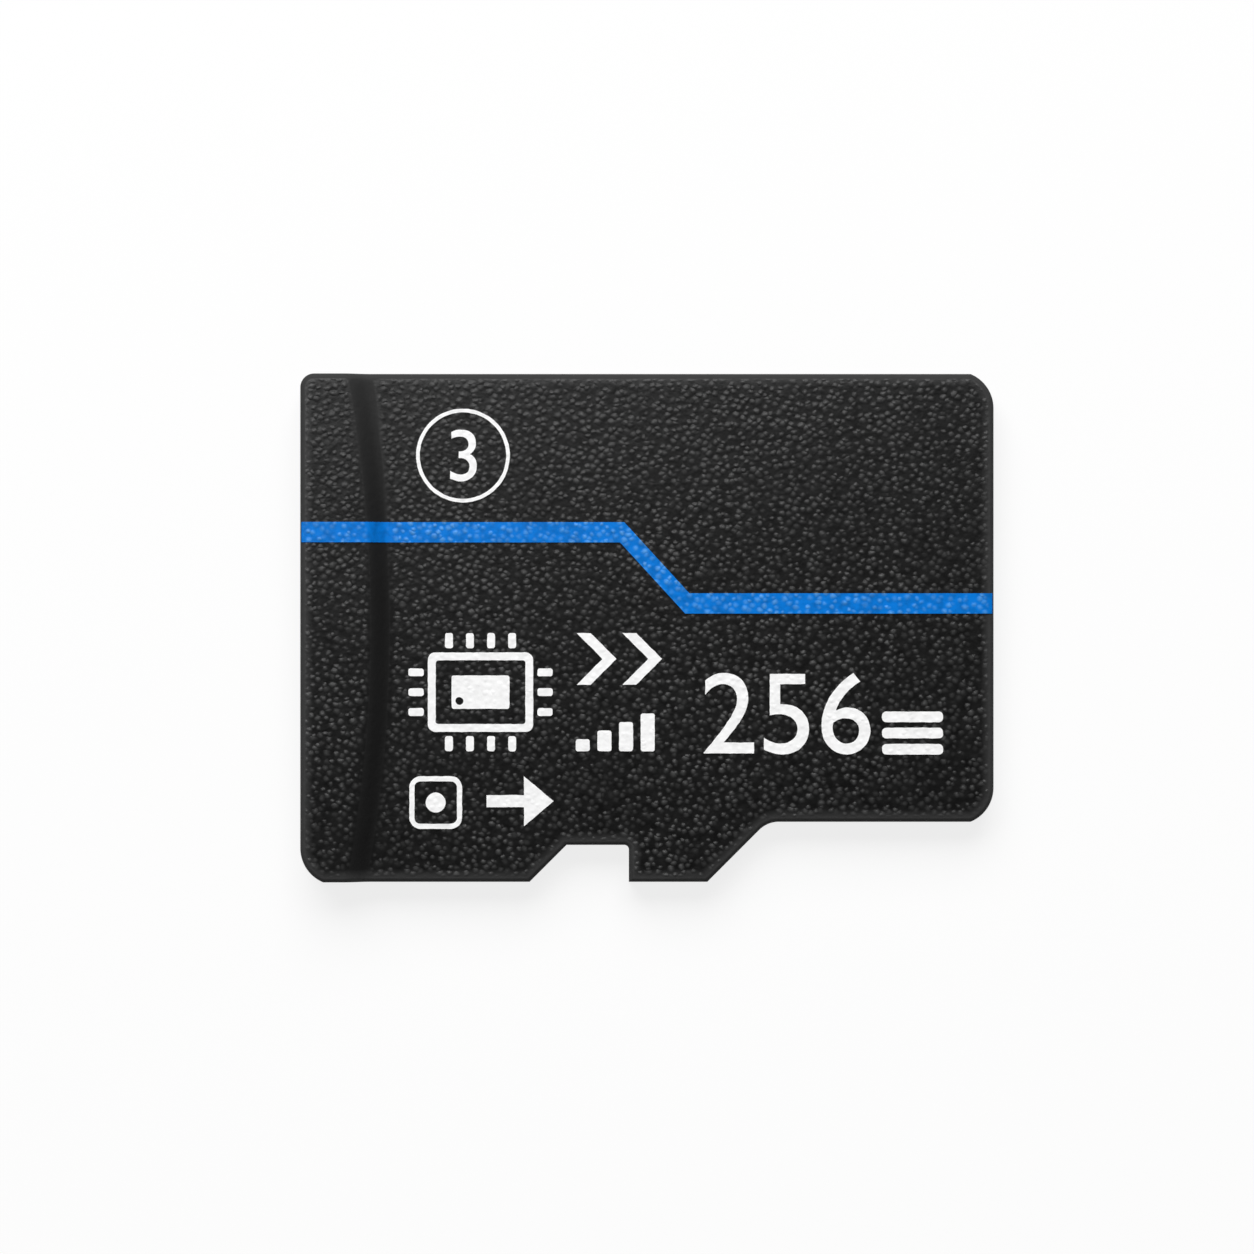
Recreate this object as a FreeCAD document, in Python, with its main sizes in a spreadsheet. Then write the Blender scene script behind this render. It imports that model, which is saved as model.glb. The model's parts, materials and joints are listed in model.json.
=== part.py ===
import FreeCAD, Part
import math
import os
import re

import Sketcher

# Micro memory card, lying label side up, in millimetres.
# The card is a moulded system in package: a thin circuit board with gilt contacts on its underside
# carries a stair of memory dies, a controller die and four capacitors, and black epoxy is moulded
# over all of them. Ink marks are printed on the label face.
# +X points to the contact end, +Y to the straight long side and +Z out of the label face.
# The origin is in the middle of the card's length and width, on the contact side.

SHEET = "Dimensions"

DIMENSIONS = (
    ("card_length", 15.0, "grip end to contact end"),
    ("card_width", 11.0, "across the grip half"),
    ("narrow_width", 9.7, "across the contact half"),
    ("body_thickness", 0.70, "contact side to label face"),
    ("lip_thickness", 1.00, "contact side to the top of the grip lip"),
    ("lip_length", 1.55, "grip end to the top of the ramp, on the middle line"),
    ("ramp_run", 0.35, "length of the ramp from the lip down to the label face"),
    ("lip_radius", 30.0, "bow of the lip, seen from above"),
    ("corner_radius", 0.8, "the three large corners"),
    ("saw_trim", 0.06, "how far the long edges are trimmed into the large corners"),
    ("rear_corner_radius", 0.3, "corner of the grip end on the straight side"),
    ("rim_radius", 0.10, "rounding around the label face"),
    ("notch_to_front", 7.9, "square wall of the latch notch to the contact end"),
    ("notch_floor", 1.35, "flat floor of the latch notch"),
    ("notch_depth", 0.8, "depth of the latch notch"),
    ("notch_slope", 45.0, "slope of the notch's entry, degrees"),
    ("notch_corner_radius", 0.1, "inner corner of the latch notch"),
    ("shoulder_to_front", 6.2, "start of the shoulder to the contact end"),
    ("shoulder_slope", 45.0, "slope of the shoulder, degrees"),
    ("shoulder_radius", 0.6, "hollow between the shoulder and the narrow edge, at most"),
    ("board_thickness", 0.18, "circuit board"),
    ("pad_pitch", 1.1, "contact to contact"),
    ("pad_width", 0.8, "contact, across the card"),
    ("pad_rear", 2.9, "inner end of the contacts to the contact end"),
    ("pad_setback", 0.52, "outer end of the signal contacts to the contact end"),
    ("power_pad_setback", 0.30, "outer end of the two power contacts to the contact end"),
    ("pad_thickness", 0.03, "plated copper of a contact"),
    ("pad_recess", 0.03, "contact face below the solder mask"),
    ("mould_cover", 0.10, "epoxy over the highest wire"),
    ("film_thickness", 0.02, "adhesive film under each die"),
    ("stack_front_margin", 1.6, "lowest die to the contact end"),
    ("stack_rear_margin", 4.2, "highest die to the grip end"),
    ("stack_side_margin", 0.9, "dies to the long edges of the contact half"),
    ("die_step", 0.35, "ledge left bare on each memory die"),
    ("controller_length", 2.2, "controller die, along the card"),
    ("controller_width", 3.0, "controller die, across the card"),
    ("controller_thickness", 0.10, "controller die"),
    ("controller_to_grip", 1.1, "controller die to the grip end"),
    ("controller_to_side", 2.6, "controller die to the straight side"),
    ("capacitor_length", 1.0, "capacitor, along the card"),
    ("capacitor_width", 0.5, "capacitor, across the card"),
    ("capacitor_height", 0.33, "capacitor"),
    ("capacitor_pitch", 0.8, "capacitor to capacitor"),
    ("capacitor_gap", 0.75, "first capacitor to the controller die"),
    ("capacitor_to_grip", 1.6, "capacitors to the grip end"),
    ("terminal_length", 0.25, "tinned end of a capacitor"),
    ("terminal_proud", 0.02, "tinned end above the ceramic"),
    ("wire_thickness", 0.025, "bond wire"),
    ("wire_rise", 0.06, "bond wire's loop above its die"),
    ("bond_inset", 0.10, "upper end of a wire to the die's edge"),
    ("landing_inset", 0.20, "lower end of a wire to the edge of the die below"),
    ("finger_reach", 0.35, "die's edge to a wire's end on the board"),
    ("memory_row_margin", 0.5, "outer wire to the memory die's side"),
    ("controller_row_margin", 0.3, "outer wire to the controller die's side"),
    ("ink_thickness", 0.02, "printed ink"),
    ("stripe_width", 0.44, "printed stripe"),
    ("stripe_rear_to_side", 3.43, "stripe's middle to the straight side, in the grip half"),
    ("stripe_front_to_side", 4.97, "stripe's middle to the straight side, in the contact half"),
    ("stripe_jog_to_grip", 7.0, "start of the stripe's jog to the grip end"),
    ("stripe_jog_run", 1.41, "length of the jog"),
    ("stripe_jog_lag", 0.09, "lower edge of the jog behind the upper one"),
    ("stripe_end_gap", 0.03, "stripe's ends to the ends of the card"),
    ("ring_diameter", 2.03, "printed ring"),
    ("ring_stroke", 0.10, "line of the printed ring"),
    ("ring_to_grip", 3.51, "ring's centre to the grip end"),
    ("ring_to_side", 1.77, "ring's centre to the straight side"),
)

ALIASES = {alias for alias, value, meaning in DIMENSIONS}

PAD_COUNT = 8
POWER_PADS = (4, 6)
DIE_COUNT = 4
CAPACITOR_COUNT = 4
MEMORY_WIRES = 12
CONTROLLER_WIRES = 8
RAMP_TURN = 60
TOLERANCE = 1e-6

# Places and sizes that follow from the driving dimensions, as expressions of them.
FRONT_END = "(card_length / 2)"
GRIP_END = "(-card_length / 2)"
STRAIGHT_SIDE = "(card_width / 2)"
NARROW_SIDE = "(card_width / 2 - narrow_width)"
NARROW_MIDDLE = "(card_width / 2 - narrow_width / 2)"
DIE_LEVEL = f"((body_thickness - board_thickness - mould_cover - wire_rise) / {DIE_COUNT})"
DIE_LENGTH = f"(card_length - stack_front_margin - stack_rear_margin - {DIE_COUNT - 1} * die_step)"
DIE_WIDTH = "(narrow_width - 2 * stack_side_margin)"
CONTROLLER_REAR = f"({GRIP_END} + controller_to_grip)"
CONTROLLER_SIDE = f"({STRAIGHT_SIDE} - controller_to_side - controller_width)"
CONTROLLER_TOP = "(board_thickness + film_thickness + controller_thickness)"

# The hollow takes up at most this share of the shoulder's slope.
HOLLOW_SHARE = 0.5


def sized(text):
    """Turn an expression of dimension names into one that reads the sheet."""
    def cell(word):
        name = word.group()
        return f"{SHEET}.{name}" if name in ALIASES else name

    return re.sub(r"[a-z_]+", cell, text)


def make_sheet(doc):
    """Fill the spreadsheet with the driving dimensions."""
    sheet = doc.addObject("Spreadsheet::Sheet", SHEET)
    for row, (alias, value, meaning) in enumerate(DIMENSIONS, start=1):
        sheet.set(f"A{row}", meaning)
        sheet.set(f"B{row}", str(value))
        sheet.setAlias(f"B{row}", alias)
    doc.recompute()
    return sheet


def origin_feature(body, role):
    """Find a plane or axis of a body's own origin."""
    return next(feature for feature in body.Origin.OriginFeatures if feature.Role == role)


def new_sketch(body, name, role):
    """Start a sketch on one of a body's origin planes."""
    sketch = body.newObject("Sketcher::SketchObject", name)
    sketch.AttachmentSupport = [(origin_feature(body, role), "")]
    sketch.MapMode = "FlatFace"
    return sketch


def bind(sketch, dimensions):
    """Add dimensions to a sketch, each with an expression that ties it to the sheet."""
    added = sketch.addConstraint([constraint for constraint, text in dimensions])
    for index, (constraint, text) in zip(added, dimensions):
        sketch.setExpression(f"Constraints[{index}]", sized(text))


def polygon(sketch, corners):
    """Close a polygon whose corners are pairs of expressions, for the sketch's two axes."""
    first = sketch.GeometryCount
    count = len(corners)
    turns = [2 * math.pi * number / count for number in range(count)]
    starts = [FreeCAD.Vector(math.cos(turn), math.sin(turn), 0) for turn in turns]
    for start, end in zip(starts, starts[1:] + starts[:1]):
        sketch.addGeometry(Part.LineSegment(start, end), False)
    followers = [first + (number + 1) % count for number in range(count)]
    sketch.addConstraint([
        Sketcher.Constraint("Coincident", first + number, 2, follower, 1)
        for number, follower in enumerate(followers)
    ])
    places = []
    for number, (start, (across, up)) in enumerate(zip(starts, corners), start=first):
        places.append((Sketcher.Constraint("DistanceX", -1, 1, number, 1, start.x), across))
        places.append((Sketcher.Constraint("DistanceY", -1, 1, number, 1, start.y), up))
    bind(sketch, places)


def rectangle(sketch, low, high):
    """Close a rectangle between two corners given as expressions."""
    polygon(sketch, [low, (high[0], low[1]), high, (low[0], high[1])])


def padded(body, sketch, name, length):
    """Raise a sketch to a solid."""
    pad = body.newObject("PartDesign::Pad", name)
    pad.Profile = sketch
    pad.setExpression("Length", sized(length))
    return pad


def new_body(doc, label):
    """Start a body under its own label."""
    body = doc.addObject("PartDesign::Body", label)
    body.Label = label
    return body


def box(doc, label, size, corner):
    """Make a block from expressions for its three sizes and its lowest corner."""
    piece = doc.addObject("Part::Box", label)
    piece.Label = label
    for name, text in zip(("Length", "Width", "Height"), size):
        piece.setExpression(name, sized(text))
    for axis, text in zip("xyz", corner):
        piece.setExpression(f"Placement.Base.{axis}", sized(text))
    return piece


def boolean(doc, kind, label, **inputs):
    """Make a boolean of other objects under its own label."""
    piece = doc.addObject(f"Part::{kind}", label)
    piece.Label = label
    for name, value in inputs.items():
        setattr(piece, name, value)
    return piece


def card_outline(body, name, size):
    """Draw the card's outline: latch notch, shoulder, three sawn corners and one small corner."""
    sketch = new_sketch(body, name, "XY_Plane")
    front = size("card_length") / 2
    grip = -front
    straight = size("card_width") / 2
    wide = -straight
    narrow = straight - size("narrow_width")
    wall = front - size("notch_to_front")
    floor = wide + size("notch_depth")
    floor_start = wall - size("notch_floor")
    mouth = floor_start - size("notch_depth") / math.tan(math.radians(size("notch_slope")))
    inner = size("notch_corner_radius")
    shoulder = front - size("shoulder_to_front")
    slope = math.radians(size("shoulder_slope"))
    slope_length = (narrow - wide) / math.sin(slope)
    hollow = min(size("shoulder_radius"), HOLLOW_SHARE * slope_length / math.tan(slope / 2))
    tangent = hollow * math.tan(slope / 2)
    knee = shoulder + (narrow - wide) / math.tan(slope)
    large = size("corner_radius")
    centre = large - size("saw_trim")
    reach = math.sqrt(large ** 2 - centre ** 2)
    turn = math.acos(reach / large)
    small = size("rear_corner_radius")

    def line(start, end):
        """Add a straight edge."""
        ends = [FreeCAD.Vector(x, y, 0) for x, y in (start, end)]
        return sketch.addGeometry(Part.LineSegment(*ends), False)

    def arc(middle, radius, start, end):
        """Add an arc, counterclockwise."""
        circle = Part.Circle(FreeCAD.Vector(*middle, 0), FreeCAD.Vector(0, 0, 1), radius)
        return sketch.addGeometry(Part.ArcOfCircle(circle, start, end), False)

    rear_edge = line((grip + large - reach, wide), (mouth, wide))
    notch_slope = line((mouth, wide), (floor_start, floor))
    notch_floor = line((floor_start, floor), (wall - inner, floor))
    notch_corner = arc((wall - inner, floor - inner), inner, 0, math.pi / 2)
    notch_wall = line((wall, floor - inner), (wall, wide))
    middle_edge = line((wall, wide), (shoulder, wide))
    slope_end = (knee - tangent * math.cos(slope), narrow - tangent * math.sin(slope))
    shoulder_slope = line((shoulder, wide), slope_end)
    shoulder_hollow = arc((knee + tangent, narrow - hollow), hollow, math.pi / 2, math.pi / 2 + slope)
    narrow_edge = line((knee + tangent, narrow), (front - large + reach, narrow))
    narrow_corner = arc((front - large, narrow + centre), large, -turn, 0)
    front_edge = line((front, narrow + centre), (front, straight - centre))
    straight_corner = arc((front - large, straight - centre), large, 0, turn)
    straight_edge = line((front - large + reach, straight), (grip + small, straight))
    small_corner = arc((grip + small, straight - small), small, math.pi / 2, math.pi)
    grip_edge = line((grip, straight - small), (grip, wide + centre))
    wide_corner = arc((grip + large, wide + centre), large, math.pi, math.pi + turn)

    constraint = Sketcher.Constraint
    corners = (
        (rear_edge, notch_slope),
        (notch_slope, notch_floor),
        (notch_wall, middle_edge),
        (middle_edge, shoulder_slope),
        (narrow_edge, narrow_corner),
        (straight_corner, straight_edge),
        (wide_corner, rear_edge),
    )
    smooth_joins = (
        (notch_floor, 2, notch_corner, 2),
        (notch_corner, 1, notch_wall, 1),
        (shoulder_slope, 2, shoulder_hollow, 2),
        (shoulder_hollow, 1, narrow_edge, 1),
        (narrow_corner, 2, front_edge, 1),
        (front_edge, 2, straight_corner, 1),
        (straight_edge, 2, small_corner, 1),
        (small_corner, 2, grip_edge, 1),
        (grip_edge, 2, wide_corner, 1),
    )
    level_edges = (rear_edge, notch_floor, middle_edge, narrow_edge, straight_edge)
    cross_edges = (notch_wall, front_edge, grip_edge)
    sketch.addConstraint([
        *(constraint("Coincident", before, 2, after, 1) for before, after in corners),
        *(constraint("Tangent", *join) for join in smooth_joins),
        *(constraint("Horizontal", edge) for edge in level_edges),
        *(constraint("Vertical", edge) for edge in cross_edges),
        constraint("Horizontal", rear_edge, 2, middle_edge, 1),
        constraint("Equal", narrow_corner, straight_corner),
        constraint("Equal", narrow_corner, wide_corner),
    ])

    trim = "corner_radius - saw_trim"
    slope_text = "(card_width - narrow_width) / sin(shoulder_slope * 1 deg)"
    hollow_text = f"min(shoulder_radius; {HOLLOW_SHARE} * {slope_text} / tan(shoulder_slope * 0.5 deg))"
    spans = (
        ("DistanceX", (-1, 1, front_edge, 1), front, "card_length / 2"),
        ("DistanceX", (grip_edge, 1, -1, 1), front, "card_length / 2"),
        ("DistanceY", (-1, 1, straight_edge, 1), straight, "card_width / 2"),
        ("DistanceY", (rear_edge, 1, -1, 1), straight, "card_width / 2"),
        ("DistanceY", (narrow_edge, 1, straight_edge, 1), size("narrow_width"), "narrow_width"),
        ("DistanceX", (notch_wall, 1, front_edge, 1), size("notch_to_front"), "notch_to_front"),
        ("DistanceY", (rear_edge, 2, notch_floor, 1), size("notch_depth"), "notch_depth"),
        ("DistanceX", (notch_floor, 1, notch_wall, 1), size("notch_floor"), "notch_floor"),
        ("DistanceX", (middle_edge, 2, front_edge, 1), size("shoulder_to_front"), "shoulder_to_front"),
        ("DistanceY", (narrow_edge, 2, narrow_corner, 3), centre, trim),
        ("DistanceY", (straight_corner, 3, straight_edge, 1), centre, trim),
        ("DistanceY", (rear_edge, 1, wide_corner, 3), centre, trim),
        ("Angle", (notch_slope,), math.radians(size("notch_slope")), "notch_slope * 1 deg"),
        ("Angle", (shoulder_slope,), slope, "shoulder_slope * 1 deg"),
        ("Radius", (notch_corner,), inner, "notch_corner_radius"),
        ("Radius", (shoulder_hollow,), hollow, hollow_text),
        ("Radius", (narrow_corner,), large, "corner_radius"),
        ("Radius", (small_corner,), small, "rear_corner_radius"),
    )
    bind(sketch, [(constraint(kind, *ends, value), text) for kind, ends, value, text in spans])
    return sketch


def rim_edges(shape, size):
    """Name the edges around the label face and the lip, without the ramp's two bowed edges."""
    names = []
    for number, edge in enumerate(shape.Edges, start=1):
        lowest = min(vertex.Point.z for vertex in edge.Vertexes)
        bowed = isinstance(edge.Curve, Part.Circle) and edge.Curve.Radius > size("lip_radius") - TOLERANCE
        if lowest > size("body_thickness") - TOLERANCE and not bowed:
            names.append(f"Edge{number}")
    return names


def mould_envelope(doc, size):
    """Make the outside of the epoxy: a lip at the grip end and a bowed ramp down to the label face."""
    body = new_body(doc, "mould_envelope")
    outline = card_outline(body, "mould_outline", size)
    outline.setExpression("AttachmentOffset.Base.z", sized("board_thickness"))
    padded(body, outline, "mould_block", "lip_thickness - board_thickness")
    doc.recompute()

    profile = new_sketch(body, "ramp_profile", "XZ_Plane")
    ramp_top = f"({GRIP_END} + lip_length)"
    past_front = f"({FRONT_END} + lip_length)"
    past_lip = "(2 * lip_thickness)"
    polygon(profile, [
        (f"{ramp_top} + ramp_run", "body_thickness"),
        (past_front, "body_thickness"),
        (past_front, past_lip),
        (ramp_top, past_lip),
        (ramp_top, "lip_thickness"),
    ])
    axis_foot = FreeCAD.Vector(-size("lip_radius"), 0, 0)
    axis_head = axis_foot + FreeCAD.Vector(0, size("lip_thickness"), 0)
    axis = profile.addGeometry(Part.LineSegment(axis_foot, axis_head), True)
    profile.addConstraint([
        Sketcher.Constraint("Vertical", axis),
        Sketcher.Constraint("PointOnObject", axis, 1, -1),
    ])
    bind(profile, [
        (Sketcher.Constraint("DistanceX", axis, 1, -1, 1, size("lip_radius")), f"lip_radius - {ramp_top}"),
        (Sketcher.Constraint("DistanceY", axis, 1, axis, 2, size("lip_thickness")), "lip_thickness"),
    ])
    ramp = body.newObject("PartDesign::Groove", "ramp")
    ramp.Profile = profile
    ramp.ReferenceAxis = (profile, ["Axis0"])
    ramp.Midplane = True
    ramp.Angle = RAMP_TURN
    doc.recompute()

    rim = body.newObject("PartDesign::Fillet", "rim")
    rim.Base = (ramp, rim_edges(ramp.Shape, size))
    rim.setExpression("Radius", sized("rim_radius"))
    doc.recompute()
    return body


def pad_extents():
    """List each contact's two corners, from the stepped side to the straight side."""
    extents = []
    for number in range(1, PAD_COUNT + 1):
        setback = "power_pad_setback" if number in POWER_PADS else "pad_setback"
        middle = f"{NARROW_MIDDLE} + {number - (PAD_COUNT + 1) / 2} * pad_pitch"
        low = (f"{FRONT_END} - pad_rear", f"{middle} - pad_width / 2")
        high = (f"{FRONT_END} - {setback}", f"{middle} + pad_width / 2")
        extents.append((low, high))
    return extents


def substrate_board(doc, size):
    """Make the circuit board, with an opening in its underside for each contact."""
    body = new_body(doc, "substrate_board")
    outline = card_outline(body, "board_outline", size)
    blank = padded(body, outline, "board_blank", "board_thickness")
    doc.recompute()
    openings = new_sketch(body, "contact_openings", "XY_Plane")
    for low, high in pad_extents():
        rectangle(openings, low, high)
    pocket = body.newObject("PartDesign::Pocket", "contact_pockets")
    pocket.Profile = openings
    pocket.Reversed = True
    pocket.setExpression("Length", sized("pad_recess + pad_thickness"))
    doc.recompute()
    if pocket.Shape.Volume > blank.Shape.Volume - TOLERANCE:
        raise RuntimeError("the contact openings cut nothing from the board")
    return body


def contact_pads(doc):
    """Make the gilt contacts, each filling the bottom of its opening."""
    pads = []
    for number, (low, high) in enumerate(pad_extents(), start=1):
        size = (f"{high[0]} - ({low[0]})", "pad_width", "pad_thickness")
        pads.append(box(doc, f"contact_pad_{number}", size, (*low, "pad_recess")))
    return pads


def die_front(level):
    """Give the front edge of a memory die, counted from the board up."""
    return f"({FRONT_END} - stack_front_margin - {level - 1} * die_step)"


def die_top(level):
    """Give the top of a memory die, or of the board at level 0."""
    return f"(board_thickness + {level} * {DIE_LEVEL})"


def memory_stack(doc):
    """Make the stair of memory dies, each on its adhesive film."""
    pieces = []
    for level in range(1, DIE_COUNT + 1):
        rear = f"{die_front(level)} - {DIE_LENGTH}"
        side = f"{NARROW_SIDE} + stack_side_margin"
        base = die_top(level - 1)
        film = (DIE_LENGTH, DIE_WIDTH, "film_thickness")
        die = (DIE_LENGTH, DIE_WIDTH, f"{DIE_LEVEL} - film_thickness")
        pieces.append(box(doc, f"die_attach_film_{level}", film, (rear, side, base)))
        pieces.append(box(doc, f"memory_die_{level}", die, (rear, side, f"{base} + film_thickness")))
    return pieces


def controller(doc):
    """Make the controller die and its film, behind the memory stack."""
    place = (CONTROLLER_REAR, CONTROLLER_SIDE)
    film = ("controller_length", "controller_width", "film_thickness")
    die = ("controller_length", "controller_width", "controller_thickness")
    return [
        box(doc, "controller_attach_film", film, (*place, "board_thickness")),
        box(doc, "controller_die", die, (*place, "board_thickness + film_thickness")),
    ]


def capacitors(doc):
    """Make the ceramic capacitors, each with two tinned ends that stand on the board."""
    pieces = []
    rear = f"({GRIP_END} + capacitor_to_grip)"
    for number in range(1, CAPACITOR_COUNT + 1):
        label = f"capacitor_{number}"
        side = f"{CONTROLLER_SIDE} - capacitor_gap - capacitor_width - {number - 1} * capacitor_pitch"
        terminal = ("terminal_length", "capacitor_width", "capacitor_height")
        front = f"{rear} + capacitor_length - terminal_length"
        ends = [
            box(doc, f"{label}_{name}", terminal, (place, side, "board_thickness"))
            for name, place in (("rear_terminal", rear), ("front_terminal", front))
        ]
        ceramic_size = (
            "capacitor_length - 2 * terminal_length",
            "capacitor_width - 2 * terminal_proud",
            "capacitor_height - 2 * terminal_proud",
        )
        ceramic_place = (
            f"{rear} + terminal_length",
            f"{side} + terminal_proud",
            "board_thickness + terminal_proud",
        )
        ceramic = box(doc, f"{label}_ceramic", ceramic_size, ceramic_place)
        pieces.append(boolean(doc, "MultiFuse", label, Shapes=[ceramic, *ends]))
    return pieces


def bond_wires(doc, label, upper, lower, top, side, width, margin, count, forward=True):
    """Make a row of square bond wires, each a staple from an upper foot to a lower one.

    upper and lower are the outer edges of the two feet, as places along the card and heights.
    A forward staple's lower foot is nearer to the contact end than its upper foot.
    """
    body = new_body(doc, label)
    profile = new_sketch(body, f"{label}_profile", "XZ_Plane")
    upper_x, upper_z = upper
    lower_x, lower_z = lower
    after, before = ("+", "-") if forward else ("-", "+")
    upper_inner = f"{upper_x} {after} wire_thickness"
    lower_inner = f"{lower_x} {before} wire_thickness"
    under = f"{top} - wire_thickness"
    polygon(profile, [
        (upper_x, upper_z),
        (upper_x, top),
        (lower_x, top),
        (lower_x, lower_z),
        (lower_inner, lower_z),
        (lower_inner, under),
        (upper_inner, under),
        (upper_inner, upper_z),
    ])
    wire = padded(body, profile, f"{label}_wire", "wire_thickness")
    wire.Midplane = True
    row = body.newObject("PartDesign::LinearPattern", f"{label}_row")
    row.Originals = [wire]
    row.Direction = (origin_feature(body, "Y_Axis"), [""])
    row.setExpression("Length", sized(f"{width} - 2 * {margin}"))
    row.Occurrences = count
    body.Tip = row
    body.setExpression("Placement.Base.y", sized(f"{side} + {margin}"))
    return body


def memory_wires(doc):
    """Make the wires that step down from each memory die to the one below, and to the board."""
    rows = []
    for level in range(1, DIE_COUNT + 1):
        on_board = f"{die_front(1)} + finger_reach"
        on_die = f"{die_front(level - 1)} - landing_inset"
        landing = on_board if level == 1 else on_die
        rows.append(bond_wires(
            doc,
            f"memory_bond_wires_{level}",
            upper=(f"{die_front(level)} - bond_inset", die_top(level)),
            lower=(landing, die_top(level - 1)),
            top=f"{die_top(level)} + wire_rise",
            side=f"{NARROW_SIDE} + stack_side_margin",
            width=DIE_WIDTH,
            margin="memory_row_margin",
            count=MEMORY_WIRES,
        ))
    return rows


def controller_wires(doc):
    """Make the wires from the controller's front and rear edges to the board."""
    front = f"({CONTROLLER_REAR} + controller_length)"
    ends = (
        ("front", f"{front} - bond_inset", f"{front} + finger_reach", True),
        ("rear", f"{CONTROLLER_REAR} + bond_inset", f"{CONTROLLER_REAR} - finger_reach", False),
    )
    return [
        bond_wires(
            doc,
            f"controller_bond_wires_{name}",
            upper=(foot, CONTROLLER_TOP),
            lower=(landing, "board_thickness"),
            top=f"{CONTROLLER_TOP} + wire_rise",
            side=CONTROLLER_SIDE,
            width="controller_width",
            margin="controller_row_margin",
            count=CONTROLLER_WIRES,
            forward=forward,
        )
        for name, foot, landing, forward in ends
    ]


def stripe_print(doc, envelope):
    """Make the printed stripe: an even coat of ink over the lip, the ramp and the label face."""
    prism = new_body(doc, "stripe_prism")
    sketch = new_sketch(prism, "stripe_outline", "XY_Plane")
    rear = f"({GRIP_END} + stripe_end_gap)"
    front = f"({FRONT_END} - stripe_end_gap)"
    jog = f"({GRIP_END} + stripe_jog_to_grip)"
    rear_line = f"({STRAIGHT_SIDE} - stripe_rear_to_side)"
    front_line = f"({STRAIGHT_SIDE} - stripe_front_to_side)"
    polygon(sketch, [
        (rear, f"{rear_line} - stripe_width / 2"),
        (f"{jog} - stripe_jog_lag", f"{rear_line} - stripe_width / 2"),
        (f"{jog} - stripe_jog_lag + stripe_jog_run", f"{front_line} - stripe_width / 2"),
        (front, f"{front_line} - stripe_width / 2"),
        (front, f"{front_line} + stripe_width / 2"),
        (f"{jog} + stripe_jog_run", f"{front_line} + stripe_width / 2"),
        (jog, f"{rear_line} + stripe_width / 2"),
        (rear, f"{rear_line} + stripe_width / 2"),
    ])
    padded(prism, sketch, "stripe_block", "lip_thickness + 2 * ink_thickness")
    lifted = doc.addObject("Part::Compound", "lifted_envelope")
    lifted.Links = [envelope]
    lifted.setExpression("Placement.Base.z", sized("ink_thickness"))
    under_coat = boolean(doc, "Common", "stripe_under_coat", Base=prism, Tool=lifted)
    return boolean(doc, "Cut", "blue_stripe_print", Base=under_coat, Tool=envelope)


def ring_print(doc):
    """Make the printed ring on the label face."""
    body = new_body(doc, "white_ring_print")
    sketch = new_sketch(body, "ring_outline", "XY_Plane")
    sketch.setExpression("AttachmentOffset.Base.z", sized("body_thickness"))
    for radius in ("ring_diameter / 2", "ring_diameter / 2 - ring_stroke"):
        start = Part.Circle(FreeCAD.Vector(1, 1, 0), FreeCAD.Vector(0, 0, 1), 1)
        circle = sketch.addGeometry(start, False)
        bind(sketch, [
            (Sketcher.Constraint("Radius", circle, 1.0), radius),
            (Sketcher.Constraint("DistanceX", -1, 1, circle, 3, 1.0), f"{GRIP_END} + ring_to_grip"),
            (Sketcher.Constraint("DistanceY", -1, 1, circle, 3, 1.0), f"{STRAIGHT_SIDE} - ring_to_side"),
        ])
    padded(body, sketch, "ring_ink", "ink_thickness")
    return body


def check(doc, pieces):
    """Stop if any object failed or any piece has no sound shape."""
    failed = [item.Label for item in doc.Objects if {"Invalid", "Error"} & set(item.State)]
    if failed:
        raise RuntimeError(f"failed objects: {failed}")
    for piece in pieces:
        if piece.Shape.isNull() or not piece.Shape.isValid() or not piece.Shape.Solids:
            raise RuntimeError(f"no sound shape: {piece.Label}")


def main():
    """Build the card and write each piece to its own file."""
    doc = FreeCAD.newDocument("memory_card")
    size = make_sheet(doc).get
    envelope = mould_envelope(doc, size)
    board = substrate_board(doc, size)
    pads = contact_pads(doc)
    inside = memory_stack(doc) + controller(doc) + capacitors(doc)
    inside += memory_wires(doc) + controller_wires(doc)
    core = boolean(doc, "MultiFuse", "moulded_over", Shapes=inside)
    moulded = boolean(doc, "Cut", "moulded_body", Base=envelope, Tool=core)
    prints = [stripe_print(doc, envelope), ring_print(doc)]
    doc.recompute()

    pieces = [moulded, board, *pads, *inside, *prints]
    check(doc, pieces)
    os.makedirs("parts", exist_ok=True)
    for piece in pieces:
        piece.Shape.exportStep(f"parts/{piece.Label}.step")
        box_size = piece.Shape.BoundBox
        print(f"{piece.Label}: {len(piece.Shape.Solids)} solids, {piece.Shape.Volume:.4f} mm3, "
              f"{box_size.XLength:.3f} x {box_size.YLength:.3f} x {box_size.ZLength:.3f} mm")


main()
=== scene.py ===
"""Micro memory card on a pale studio floor, seen from straight above its label face.

Lengths in the classes are millimetres in the card's own frame: +X to the contact end, +Y to the
straight long side, +Z out of the label face. Meshes are made in millimetres and scaled to metres.
"""

import json
import logging
import math
from abc import ABC, abstractmethod
from collections.abc import Callable, Iterable, Sequence
from dataclasses import dataclass, field
from enum import Enum
from typing import Any, ClassVar

import bmesh
import bpy
from mathutils import Matrix, Vector, noise
from mathutils.geometry import delaunay_2d_cdt

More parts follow.
